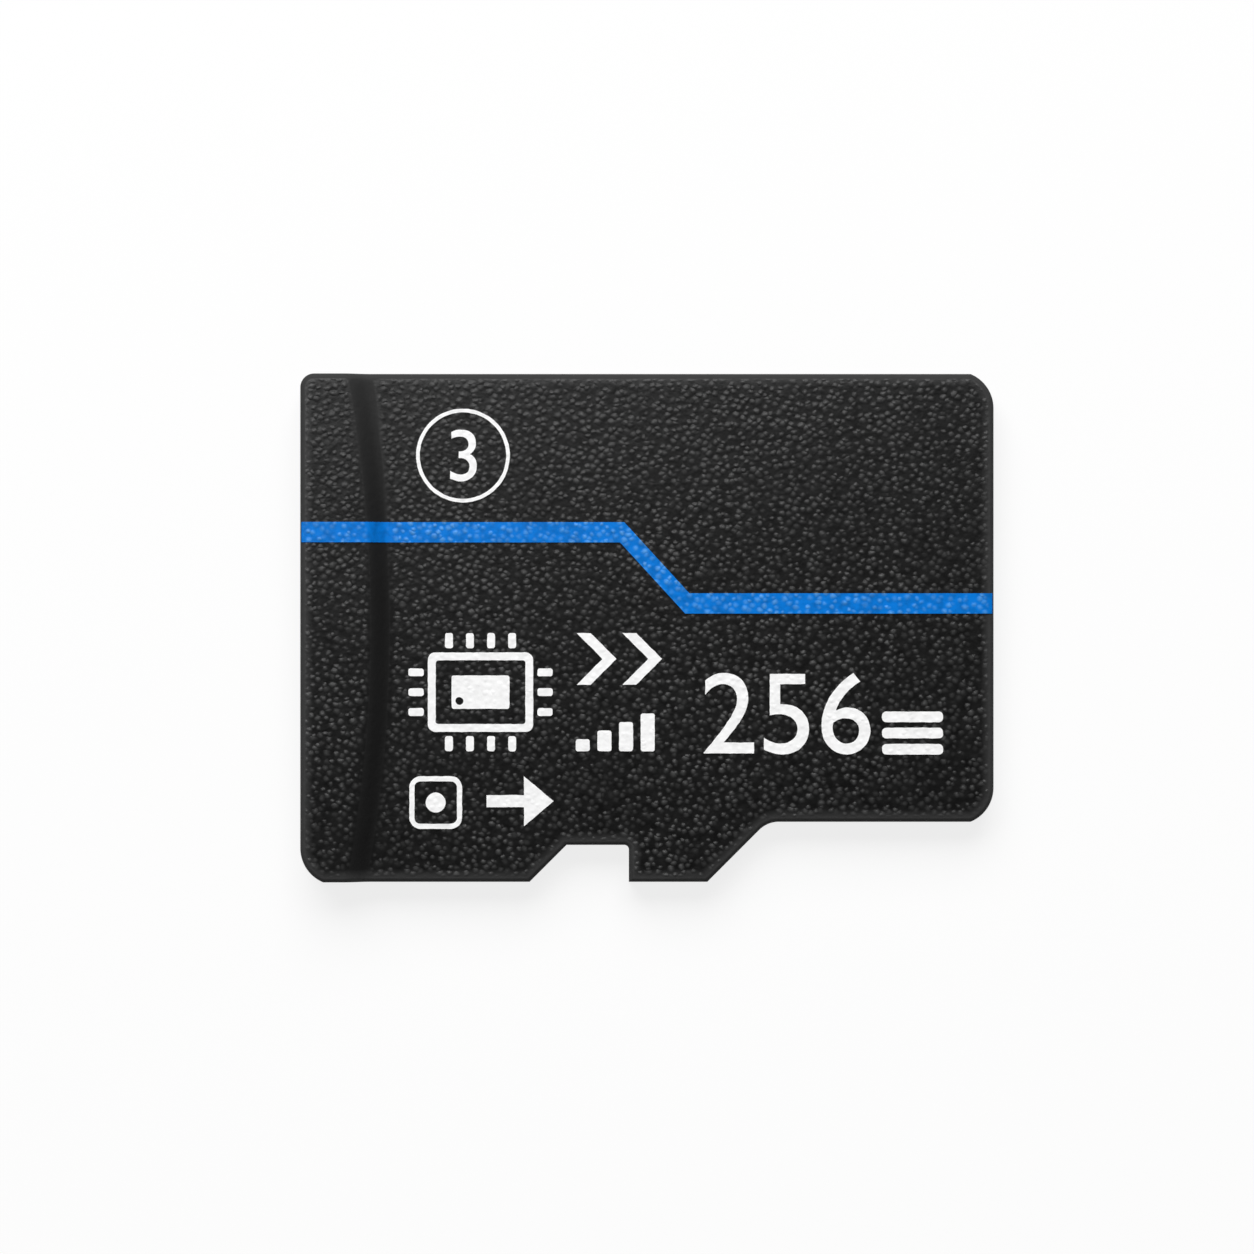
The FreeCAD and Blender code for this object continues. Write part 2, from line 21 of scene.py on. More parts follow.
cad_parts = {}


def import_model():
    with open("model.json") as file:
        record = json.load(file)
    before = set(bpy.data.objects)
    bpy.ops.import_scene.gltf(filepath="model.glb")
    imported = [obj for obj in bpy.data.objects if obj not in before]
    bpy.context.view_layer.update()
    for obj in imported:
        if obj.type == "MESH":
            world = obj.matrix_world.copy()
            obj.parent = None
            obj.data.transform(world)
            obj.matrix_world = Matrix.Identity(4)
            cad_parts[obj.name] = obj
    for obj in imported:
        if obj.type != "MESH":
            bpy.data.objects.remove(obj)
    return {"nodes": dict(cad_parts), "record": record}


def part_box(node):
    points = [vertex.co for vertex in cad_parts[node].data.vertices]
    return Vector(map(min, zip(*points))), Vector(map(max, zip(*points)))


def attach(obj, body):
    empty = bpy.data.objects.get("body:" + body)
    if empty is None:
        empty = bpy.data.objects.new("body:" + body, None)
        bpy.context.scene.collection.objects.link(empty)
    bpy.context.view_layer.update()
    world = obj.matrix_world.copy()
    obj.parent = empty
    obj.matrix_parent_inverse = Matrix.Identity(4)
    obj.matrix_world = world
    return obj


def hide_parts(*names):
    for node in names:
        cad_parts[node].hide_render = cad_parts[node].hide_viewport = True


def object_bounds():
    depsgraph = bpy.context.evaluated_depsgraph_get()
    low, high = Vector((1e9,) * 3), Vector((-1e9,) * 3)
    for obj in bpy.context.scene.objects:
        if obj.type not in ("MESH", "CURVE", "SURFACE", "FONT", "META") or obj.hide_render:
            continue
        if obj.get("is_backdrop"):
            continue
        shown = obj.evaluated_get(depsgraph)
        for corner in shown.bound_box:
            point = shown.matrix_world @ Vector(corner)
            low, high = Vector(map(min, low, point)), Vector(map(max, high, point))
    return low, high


LOG = logging.getLogger("memory_card")

MM = 0.001
BODY = "root"
CDT_EPSILON = 1e-6
WELD_DISTANCE = 1e-5
SHARP_EDGE = math.radians(30)
QUARTER = math.pi / 2
WHITE = "#FFFFFF"

# Point attributes of a mesh, from 0 to 1: how much of the mould's grain it carries, and how much
# painted sheen it carries: a painted highlight along the rim and painted light on the ramp towards the
# straight side.
GRAIN = "grain"
# Painted sheen: a painted highlight on the rim and painted light on the ramp's upper part.
PAINTED_SHEEN = "painted_sheen"

Point = tuple[float, float]
Loop = list[Point]
Field = Callable[[Point], float]
Range = tuple[float, float]


class Slot(Enum):
    """The record's material slots."""

    EPOXY = "epoxy"
    MASK = "solder_mask"
    GOLD = "gold_plating"
    SILICON = "silicon"
    FILM = "die_film"
    WIRE = "gold_wire"
    CAPACITOR = "capacitor_ceramic"
    BLUE_INK = "blue_ink"
    WHITE_INK = "white_ink"


def linear(hex_colour: str) -> tuple[float, float, float, float]:
    """Turn an sRGB hex colour into linear values.

    Args:
        hex_colour: Six hex digits after a hash sign.

    Returns:
        Linear red, green, blue and an alpha of one.
    """
    channels = [int(hex_colour[place:place + 2], 16) / 255 for place in (1, 3, 5)]
    values = [c / 12.92 if c <= 0.04045 else ((c + 0.055) / 1.055) ** 2.4 for c in channels]
    return (*values, 1.0)


def per_mm(size_mm: float) -> float:
    """Give the texture scale, per metre, of a pattern of this size in millimetres."""
    return 1.0 / (size_mm * MM)


def add_node(
    tree: bpy.types.NodeTree, kind: str, inputs: dict[str | int, Any] | None = None, **settings: Any
) -> bpy.types.Node:
    """Add a node with its settings and links.

    Args:
        tree: The node tree.
        kind: The node's type name.
        inputs: Input names or numbers, with a value or an output to link.
        settings: Properties to set on the node.

    Returns:
        The new node.
    """
    made = tree.nodes.new(kind)
    for name, value in settings.items():
        setattr(made, name, value)
    for key, value in (inputs or {}).items():
        if isinstance(value, bpy.types.NodeSocket):
            tree.links.new(value, made.inputs[key])
        else:
            made.inputs[key].default_value = value
    return made


def new_material(name: str) -> tuple[bpy.types.Material, bpy.types.NodeTree, bpy.types.NodeSocket]:
    """Start a material with an empty surface.

    Args:
        name: The material's name.

    Returns:
        The material, its node tree and the socket for its surface.
    """
    material = bpy.data.materials.new(name)
    material.use_nodes = True
    tree = material.node_tree
    tree.nodes.clear()
    return material, tree, add_node(tree, "ShaderNodeOutputMaterial").inputs["Surface"]


@dataclass(frozen=True)
class MouldGrain:
    """Spark-eroded grain of the mould: low, uneven pebbles in loose rows that slant over the card.

    Each pebble has a reach of its own, as a share of the spacing, and a height of its own. Patches
    of the surface have lower pebbles, and the ground between them has a fine tooth.
    """

    spacing_mm: float = 0.146
    stretch: float = 1.1
    slant: float = math.radians(32)
    scatter: float = 0.80
    height_mm: float = 0.018
    waver_mm: float = 0.075
    waver_detail: float = 2.0
    reach: Range = (0.38, 0.62)
    own_height: Range = (0.3, 1.0)
    patch_mm: float = 1.5
    patch_detail: float = 2.0
    patch_cloud: Range = (0.3, 0.65)
    patch_height: float = 0.6
    tooth_mm: float = 0.15
    tooth_detail: float = 3.0
    tooth_height_mm: float = 0.012

    def pebbles(self, tree: bpy.types.NodeTree) -> bpy.types.NodeSocket:
        """Add the pebble pattern to a tree.

        Args:
            tree: The node tree.

        Returns:
            An output from 0 on the ground to 1 on the tallest pebbles, 0 where the mesh has no grain.
        """
        place = add_node(tree, "ShaderNodeTexCoord").outputs["Object"]
        waver = add_node(
            tree,
            "ShaderNodeTexNoise",
            {"Vector": place, "Scale": per_mm(self.spacing_mm), "Detail": self.waver_detail},
        )
        bent = add_node(
            tree,
            "ShaderNodeVectorMath",
            {0: waver.outputs["Color"], 1: (self.waver_mm * MM, self.waver_mm * MM, 0.0), 2: place},
            operation="MULTIPLY_ADD",
        )
        drawn = add_node(
            tree,
            "ShaderNodeMapping",
            {
                "Vector": bent.outputs["Vector"],
                "Scale": (1.0 / self.stretch, 1.0, 1.0),
                "Rotation": (0.0, 0.0, self.slant),
            },
        )
        cells = add_node(
            tree,
            "ShaderNodeTexVoronoi",
            {
                "Vector": drawn.outputs["Vector"],
                "Scale": per_mm(self.spacing_mm),
                "Randomness": self.scatter,
            },
            voronoi_dimensions="2D",
            feature="F1",
        )
        chance = add_node(tree, "ShaderNodeSeparateColor", {"Color": cells.outputs["Color"]})
        reach = add_node(
            tree,
            "ShaderNodeMapRange",
            {"Value": chance.outputs["Green"], "To Min": self.reach[0], "To Max": self.reach[1]},
        )
        dome = add_node(
            tree,
            "ShaderNodeMapRange",
            {
                "Value": cells.outputs["Distance"],
                "From Max": reach.outputs["Result"],
                "To Min": 1.0,
                "To Max": 0.0,
            },
            interpolation_type="SMOOTHSTEP",
        )
        own_height = add_node(
            tree,
            "ShaderNodeMapRange",
            {"Value": chance.outputs["Red"], "To Min": self.own_height[0], "To Max": self.own_height[1]},
        )
        patches = add_node(
            tree,
            "ShaderNodeTexNoise",
            {"Vector": place, "Scale": per_mm(self.patch_mm), "Detail": self.patch_detail},
        )
        patch_height = add_node(
            tree,
            "ShaderNodeMapRange",
            {
                "Value": patches.outputs["Fac"],
                "From Min": self.patch_cloud[0],
                "From Max": self.patch_cloud[1],
                "To Min": self.patch_height,
            },
        )
        carried = add_node(tree, "ShaderNodeAttribute", attribute_name=GRAIN)
        height = dome.outputs["Result"]
        for share in (own_height.outputs["Result"], patch_height.outputs["Result"], carried.outputs["Fac"]):
            product = add_node(tree, "ShaderNodeMath", {0: height, 1: share}, operation="MULTIPLY")
            height = product.outputs["Value"]
        return height

    def relief(
        self, tree: bpy.types.NodeTree, pebbles: bpy.types.NodeSocket, share: float
    ) -> bpy.types.NodeSocket:
        """Add the grain's bump: the pebbles on an uneven ground.

        Args:
            tree: The node tree.
            pebbles: The pebble pattern.
            share: How much of the grain's height shows, from 0 to 1.

        Returns:
            The bumped normal.
        """
        place = add_node(tree, "ShaderNodeTexCoord").outputs["Object"]
        tooth = add_node(
            tree,
            "ShaderNodeTexNoise",
            {"Vector": place, "Scale": per_mm(self.tooth_mm), "Detail": self.tooth_detail},
        )
        fine = add_node(
            tree,
            "ShaderNodeBump",
            {"Strength": share, "Distance": self.tooth_height_mm * MM, "Height": tooth.outputs["Fac"]},
        )
        coarse = add_node(
            tree,
            "ShaderNodeBump",
            {
                "Strength": share,
                "Distance": self.height_mm * MM,
                "Height": pebbles,
                "Normal": fine.outputs["Normal"],
            },
        )
        return coarse.outputs["Normal"]


@dataclass(frozen=True)
class MouldedEpoxy:
    """Black epoxy moulding compound, moulded against a spark-eroded tool.

    The eye sees a dull, uneven black ground with a close scatter of grey glints, where the pebbles
    face the light; the pebbles are also painted a paler grey all over, a painted glint. Where the mesh
    has no grain, as on the ramp, the black is plain and duller, and the rim is painted paler, a painted
    highlight.
    """

    pit: str = "#050505"
    ground: str = "#161616"
    ground_mm: float = 0.22
    ground_detail: float = 3.0
    ground_cloud: Range = (0.3, 0.7)
    smooth: str = "#121212"
    # Painted highlight: the paler colour painted on the rim and on the ramp towards the straight side.
    painted_sheen: str = "#333333"
    # Painted glint: the paler grey painted on every pebble, whichever way it faces the light.
    painted_glint: str = "#444444"
    smooth_roughness: float = 0.75
    grained_roughness: float = 0.38
    roughness_reach: float = 0.3
    ior: float = 1.52
    specular: float = 0.28
    grain_share: float = 1.0
    grain: MouldGrain = MouldGrain()

    def make(self) -> bpy.types.Material:
        """Build the material.

        Returns:
            The material, which reads the point attributes of its mesh.
        """
        material, tree, surface = new_material("spark_grained_black_epoxy")
        pebbles = self.grain.pebbles(tree)
        place = add_node(tree, "ShaderNodeTexCoord").outputs["Object"]
        cloud = add_node(
            tree,
            "ShaderNodeTexNoise",
            {"Vector": place, "Scale": per_mm(self.ground_mm), "Detail": self.ground_detail},
        )
        uneven = add_node(
            tree,
            "ShaderNodeMapRange",
            {
                "Value": cloud.outputs["Fac"],
                "From Min": self.ground_cloud[0],
                "From Max": self.ground_cloud[1],
            },
        )
        carried = add_node(tree, "ShaderNodeAttribute", attribute_name=GRAIN)
        bare = add_node(
            tree, "ShaderNodeMapRange", {"Value": carried.outputs["Fac"], "To Min": 1.0, "To Max": 0.0}
        )
        # How much painted highlight and painted light each point carries.
        painted_sheen = add_node(tree, "ShaderNodeAttribute", attribute_name=PAINTED_SHEEN)
        colour: Any = linear(self.pit)
        # The pebbles' paler colour is a painted glint, and the painted sheen is a painted highlight.
        for share, over in (
            (uneven.outputs["Result"], self.ground),
            (bare.outputs["Result"], self.smooth),
            (painted_sheen.outputs["Fac"], self.painted_sheen),
            (pebbles, self.painted_glint),
        ):
            mixed = add_node(tree, "ShaderNodeMix", {0: share, 6: colour, 7: linear(over)}, data_type="RGBA")
            colour = mixed.outputs[2]
        rough = add_node(
            tree,
            "ShaderNodeMapRange",
            {
                "Value": carried.outputs["Fac"],
                "From Max": self.roughness_reach,
                "To Min": self.smooth_roughness,
                "To Max": self.grained_roughness,
            },
        )
        shader = add_node(
            tree,
            "ShaderNodeBsdfPrincipled",
            {
                "Base Color": colour,
                "Roughness": rough.outputs["Result"],
                "IOR": self.ior,
                "Specular IOR Level": self.specular,
                "Normal": self.grain.relief(tree, pebbles, self.grain_share),
            },
        )
        tree.links.new(shader.outputs["BSDF"], surface)
        return material


@dataclass(frozen=True)
class PrintInk:
    """Screen-printed ink over the grain: the coat fills the ground and thins on the pebbles.

    The eye sees a lightly mottled colour; the pebbles are painted paler, a painted glint where they stand
    through the coat.
    """

    name: str
    ground: str
    # Painted glint: the paler colour painted on the pebbles.
    painted_glint: str
    roughness: float
    grain_share: float
    mottle: float
    mottle_mm: float = 0.16
    mottle_detail: float = 3.0
    mottle_cloud: Range = (0.3, 0.6)
    ior: float = 1.48
    specular: float = 0.2
    grain: MouldGrain = MouldGrain()

    def make(self) -> bpy.types.Material:
        """Build the material.

        Returns:
            The material, which reads the grain attribute of its mesh.
        """
        material, tree, surface = new_material(self.name)
        pebbles = self.grain.pebbles(tree)
        # The pebbles are painted paler, a painted glint.
        colour = add_node(
            tree,
            "ShaderNodeMix",
            {0: pebbles, 6: linear(self.ground), 7: linear(self.painted_glint)},
            data_type="RGBA",
        )
        place = add_node(tree, "ShaderNodeTexCoord").outputs["Object"]
        cloud = add_node(
            tree,
            "ShaderNodeTexNoise",
            {"Vector": place, "Scale": per_mm(self.mottle_mm), "Detail": self.mottle_detail},
        )
        value = add_node(
            tree,
            "ShaderNodeMapRange",
            {
                "Value": cloud.outputs["Fac"],
                "From Min": self.mottle_cloud[0],
                "From Max": self.mottle_cloud[1],
                "To Min": 1.0 - self.mottle,
                "To Max": 1.0,
            },
        )
        mottled = add_node(
            tree, "ShaderNodeHueSaturation", {"Color": colour.outputs[2], "Value": value.outputs["Result"]}
        )
        shader = add_node(
            tree,
            "ShaderNodeBsdfPrincipled",
            {
                "Base Color": mottled.outputs["Color"],
                "Roughness": self.roughness,
                "IOR": self.ior,
                "Specular IOR Level": self.specular,
                "Normal": self.grain.relief(tree, pebbles, self.grain_share),
            },
        )
        tree.links.new(shader.outputs["BSDF"], surface)
        return material


@dataclass(frozen=True)
class CloudedFinish:
    """A finish of one material with a fine cloud in its colour, its gloss and its surface."""

    name: str
    dark: str
    light: str
    roughness: Range
    cloud_mm: float
    stretch: tuple[float, float, float] = (1.0, 1.0, 1.0)
    metallic: float = 0.0
    ior: float = 1.5
    relief_mm: float = 0.001
    relief_strength: float = 0.5
    cloud_detail: float = 4.0
    cloud_range: Range = (0.3, 0.7)

    def make(self) -> bpy.types.Material:
        """Build the material.

        Returns:
            The material.
        """
        material, tree, surface = new_material(self.name)
        place = add_node(tree, "ShaderNodeTexCoord").outputs["Object"]
        shrink = tuple(1.0 / side for side in self.stretch)
        drawn = add_node(tree, "ShaderNodeMapping", {"Vector": place, "Scale": shrink})
        noise_inputs = {
            "Vector": drawn.outputs["Vector"],
            "Scale": per_mm(self.cloud_mm),
            "Detail": self.cloud_detail,
        }
        cloud = add_node(tree, "ShaderNodeTexNoise", noise_inputs).outputs["Fac"]
        colour = add_node(
            tree,
            "ShaderNodeMix",
            {0: cloud, 6: linear(self.dark), 7: linear(self.light)},
            data_type="RGBA",
        )
        rough = add_node(
            tree,
            "ShaderNodeMapRange",
            {
                "Value": cloud,
                "From Min": self.cloud_range[0],
                "From Max": self.cloud_range[1],
                "To Min": self.roughness[0],
                "To Max": self.roughness[1],
            },
        )
        relief = add_node(
            tree,
            "ShaderNodeBump",
            {"Strength": self.relief_strength, "Distance": self.relief_mm * MM, "Height": cloud},
        )
        shader = add_node(
            tree,
            "ShaderNodeBsdfPrincipled",
            {
                "Base Color": colour.outputs[2],
                "Roughness": rough.outputs["Result"],
                "Metallic": self.metallic,
                "IOR": self.ior,
                "Normal": relief.outputs["Normal"],
            },
        )
        tree.links.new(shader.outputs["BSDF"], surface)
        return material


Finish = MouldedEpoxy | PrintInk | CloudedFinish

EPOXY = MouldedEpoxy()

# White screen ink: close to paper white, with faint grey clouds where the coat is thin, and a painted glint
# on the pebbles.
WHITE_INK = PrintInk("white_screen_ink", "#FAFAFA", "#FDFDFD", 0.5, grain_share=0.4, mottle=0.10)

# Blue screen ink: a strong mid blue, painted paler on the pebbles as a painted glint.
BLUE_INK = PrintInk("blue_screen_ink", "#0077D7", "#5AA2E8", 0.36, grain_share=0.6, mottle=0.28)

# Epoxy cut by a water jet: a dull black edge with fine upright drag lines.
CUT_EPOXY = CloudedFinish(
    "jet_cut_black_epoxy", "#121212", "#1F1F1F", (0.45, 0.6), 0.03, stretch=(1.0, 1.0, 12.0), relief_mm=0.004
)

# Black solder mask over copper: satin black with a slight orange peel.
SOLDER_MASK = CloudedFinish("black_solder_mask", "#0E1010", "#161818", (0.30, 0.42), 0.25, relief_mm=0.0015)

# Glass laminate cut by the same jet: a dull brown-black layer under the epoxy.
CUT_LAMINATE = CloudedFinish(
    "jet_cut_laminate", "#17150F", "#2A271C", (0.55, 0.7), 0.03, stretch=(1.0, 1.0, 6.0), relief_mm=0.004
)

# Hard gold plating on nickel and copper: bright yellow metal, brushed along the card by sockets.
GOLD_PLATING = CloudedFinish(
    "hard_gold_plating", "#D09A3A", "#E9BE62", (0.18, 0.34), 0.03, stretch=(14.0, 1.0, 1.0), metallic=1.0
)

# Ground silicon: dark grey with a bluish shine and fine wheel marks.
SILICON = CloudedFinish(
    "ground_silicon", "#4A4D58", "#6C7080", (0.12, 0.25), 0.04, stretch=(6.0, 1.0, 1.0), ior=3.5
)

# Cured die-attach film: waxy and tan.
DIE_FILM = CloudedFinish("cured_die_film", "#A8926A", "#BFA97E", (0.5, 0.65), 0.2)

# Drawn gold wire: plain bright gold.
GOLD_WIRE = CloudedFinish("drawn_gold_wire", "#E0B050", "#F6D488", (0.15, 0.25), 0.05, metallic=1.0)

# Fired capacitor ceramic: a dull brown with a fine sinter.
CAPACITOR = CloudedFinish("fired_capacitor_ceramic", "#6B4E33", "#87664A", (0.45, 0.6), 0.06)


def arc(centre: Point, radius: float, start: float, end: float, count: int) -> Loop:
    """Give points along an arc.

    Args:
        centre: The arc's centre.
        radius: Its radius.
        start: The angle it starts at, in radians.
        end: The angle it ends at.
        count: The number of steps.

    Returns:
        The points, both ends included.
    """
    turns = [start + (end - start) * step / count for step in range(count + 1)]
    return [(centre[0] + radius * math.cos(t), centre[1] + radius * math.sin(t)) for t in turns]


def disc(centre: Point, radius: float, count: int) -> Loop:
    """Give a full circle as a loop."""
    return arc(centre, radius, 0.0, math.tau, count)[:-1]


def rounded(low: Point, high: Point, radius: float) -> Loop:
    """Give a rectangle with rounded corners.

    Args:
        low: Its lower left corner.
        high: Its upper right corner.
        radius: The corner radius.

    Returns:
        The loop, counterclockwise.
    """
    x0, y0, x1, y1 = low[0] + radius, low[1] + radius, high[0] - radius, high[1] - radius
    centres = ((x1, y0), (x1, y1), (x0, y1), (x0, y0))
    corner_steps = 6
    return [
        point
        for number, centre in enumerate(centres)
        for point in arc(centre, radius, (number - 1) * QUARTER, number * QUARTER, corner_steps)
    ]


def offset(path: Sequence[Point], distance: float, closed: bool) -> Loop:
    """Move a path to its left, with mitred corners.

    Args:
        path: The path's points.
        distance: How far each edge moves.
        closed: Whether the last point joins the first.

    Returns:
        The moved points, one for each.
    """
    edges = list(zip(path, [*path[1:], path[0]]))
    if not closed:
        edges[-1] = edges[-2]
    normals = []
    for (ax, ay), (bx, by) in edges:
        length = math.hypot(bx - ax, by - ay)
        normals.append((-(by - ay) / length, (bx - ax) / length))
    moved = []
    for number, (x, y) in enumerate(path):
        after = normals[number]
        before = normals[number - 1] if closed or number else after
        share = distance / (1.0 + before[0] * after[0] + before[1] * after[1])
        moved.append((x + share * (before[0] + after[0]), y + share * (before[1] + after[1])))
    return moved


def inside(point: Point, loops: Iterable[Sequence[Point]]) -> bool:
    """Test whether a point is inside a set of loops, where a loop within a loop is a hole.

    Args:
        point: The point.
        loops: Closed loops.

    Returns:
        True inside.
    """
    x, y = point
    within = False
    for loop in loops:
        for (ax, ay), (bx, by) in zip(loop, [*loop[1:], loop[0]]):
            if (ay > y) != (by > y) and x < ax + (y - ay) / (by - ay) * (bx - ax):
                within = not within
    return within


def triangulate(
    loops: Sequence[Sequence[Point]],
    lines: Sequence[Sequence[Point]],
    keep: Callable[[Point], bool],
) -> tuple[list[Point], list[list[int]]]:
    """Fill a flat region with triangles that follow loops and lines.

    Args:
        loops: Closed loops that triangles may not cross.
        lines: Open lines that triangles may not cross.
        keep: Test for the centre of a triangle that is part of the region.

    Returns:
        The points and the triangles, as point numbers.
    """
    points: list[Vector] = []
    edges: list[tuple[int, int]] = []
    for path, closed in [(loop, True) for loop in loops] + [(line, False) for line in lines]:
        first = len(points)
        points += [Vector(point) for point in path]
        edges += [(number, number + 1) for number in range(first, len(points) - 1)]
        if closed:
            edges.append((len(points) - 1, first))
    made, _, triangles, _, _, _ = delaunay_2d_cdt(points, edges, [], 0, CDT_EPSILON)
    kept = []
    for triangle in triangles:
        centre = sum((made[number] for number in triangle), Vector((0.0, 0.0))) / 3
        if keep((centre.x, centre.y)):
            kept.append(list(triangle))
    return [(point.x, point.y) for point in made], kept


def new_mesh() -> bmesh.types.BMesh:
    """Start a mesh whose points can carry grain and painted sheen, a painted highlight.

    Returns:
        The empty mesh, with a layer for each attribute.
    """
    bm = bmesh.new()
    for name in (GRAIN, PAINTED_SHEEN):
        bm.verts.layers.float.new(name)
    return bm


def plate(
    bm: bmesh.types.BMesh,
    flat: tuple[Sequence[Point], Sequence[Sequence[int]]],
    top: Field,
    bottom: Field,
    grain: Field = lambda point: 1.0,
    painted_sheen: Field = lambda point: 0.0,
) -> list[bmesh.types.BMFace]:
    """Raise a flat region to a closed solid.

    Args:
        bm: The mesh to add to.
        flat: The region's points and its faces, as point numbers.
        top: Height of the top surface at a point.
        bottom: Height of the bottom surface at a point.
        grain: Share of the mould's grain on the top surface at a point.
        painted_sheen: How much painted highlight and painted light the top surface carries at a point.

    Returns:
        The wall faces.
    """
    points, polygons = flat
    layers = bm.verts.layers.float
    used = sorted({number for polygon in polygons for number in polygon})
    upper = {number: bm.verts.new((*points[number], top(points[number]))) for number in used}
    lower = {number: bm.verts.new((*points[number], bottom(points[number]))) for number in used}
    for number, vert in upper.items():
        vert[layers[GRAIN]] = grain(points[number])
        vert[layers[PAINTED_SHEEN]] = painted_sheen(points[number])
    sides: dict[tuple[int, int], None] = {}
    for polygon in polygons:
        bm.faces.new([upper[number] for number in polygon])
        bm.faces.new([lower[number] for number in reversed(polygon)])
        for start, end in zip(polygon, [*polygon[1:], polygon[0]]):
            if (end, start) in sides:
                del sides[(end, start)]
            else:
                sides[(start, end)] = None
    return [bm.faces.new((upper[b], upper[a], lower[a], lower[b])) for a, b in sides]


def finish_mesh(name: str, bm: bmesh.types.BMesh) -> bpy.types.Object:
    """Turn a mesh in millimetres into an object in metres, smooth but for its sharp edges.

    Args:
        name: The piece's name.
        bm: The mesh, which is freed.

    Returns:
        The object, riding on the card.
    """
    mesh = bpy.data.meshes.new(name)
    bm.to_mesh(mesh)
    bm.free()
    mesh.transform(Matrix.Scale(MM, 4))
    mesh.shade_smooth()
    mesh.set_sharp_from_angle(angle=SHARP_EDGE)
    piece = bpy.data.objects.new(name, mesh)
    bpy.context.scene.collection.objects.link(piece)
    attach(piece, BODY)
    return piece


def boundary_loops(mesh: bpy.types.Mesh) -> list[Loop]:
    """Trace the open edges of a flat mesh.

    Args:
        mesh: A flat mesh.

    Returns:
        Closed loops of points.
    """
    bm = bmesh.new()
    bm.from_mesh(mesh)
    bmesh.ops.remove_doubles(bm, verts=bm.verts, dist=WELD_DISTANCE)
    open_edges = {edge.index: edge for edge in bm.edges if len(edge.link_faces) == 1}
    loops = []
    while open_edges:
        _, edge = open_edges.popitem()
        start, vert = edge.verts
        loop = [start]
        while vert is not start:
            loop.append(vert)
            edge = next(other for other in vert.link_edges if other.index in open_edges)
            del open_edges[edge.index]
            vert = edge.other_vert(vert)
        loops.append([(v.co.x, v.co.y) for v in loop])
    bm.free()
    return loops


@dataclass(frozen=True)
class CardOutline:
    """The card's outline, with its latch notch, shoulder, trimmed corners and small corner."""

    length: float
    width: float
    narrow_width: float = 9.7
    corner_radius: float = 0.8
    saw_trim: float = 0.06
    rear_corner_radius: float = 0.3
    notch_to_front: float = 7.9
    notch_floor: float = 1.35
    notch_depth: float = 0.8
    notch_corner_radius: float = 0.1
    shoulder_to_front: float = 6.2
    shoulder_radius: float = 0.6
    shoulder_slope: float = math.radians(45)
    arc_steps: int = 24

    @property
    def front(self) -> float:
        """The contact end."""
        return self.length / 2

    @property
    def straight(self) -> float:
        """The straight long side."""
        return self.width / 2

    @property
    def narrow(self) -> float:
        """The long edge of the contact half, on the stepped side."""
        return self.straight - self.narrow_width

    def loop(self) -> Loop:
        """Give the outline, counterclockwise from the notch's mouth.

        Returns:
            The outline's points.
        """
        front, grip, straight, wide = self.front, -self.front, self.straight, -self.straight
        wall = front - self.notch_to_front
        floor = wide + self.notch_depth
        floor_start = wall - self.notch_floor
        shoulder = front - self.shoulder_to_front
        hollow, slope = self.shoulder_radius, self.shoulder_slope
        knee = shoulder + (self.narrow - wide) / math.tan(slope)
        hollow_centre = (knee + hollow * math.tan(slope / 2), self.narrow - hollow)
        large, inner, small = self.corner_radius, self.notch_corner_radius, self.rear_corner_radius
        centre = large - self.saw_trim
        turn = math.asin(centre / large)
        steps = self.arc_steps
        return [
            (floor_start - self.notch_depth, wide),
            (floor_start, floor),
            *arc((wall - inner, floor - inner), inner, QUARTER, 0.0, steps // 3),
            (wall, wide),
            (shoulder, wide),
            *arc(hollow_centre, hollow, QUARTER + slope, QUARTER, steps // 2),
            *arc((front - large, self.narrow + centre), large, -turn, 0.0, steps),
            *arc((front - large, straight - centre), large, 0.0, turn, steps),
            *arc((grip + small, straight - small), small, QUARTER, math.pi, steps // 2),
            *arc((grip + large, wide + centre), large, math.pi, math.pi + turn, steps),
        ]


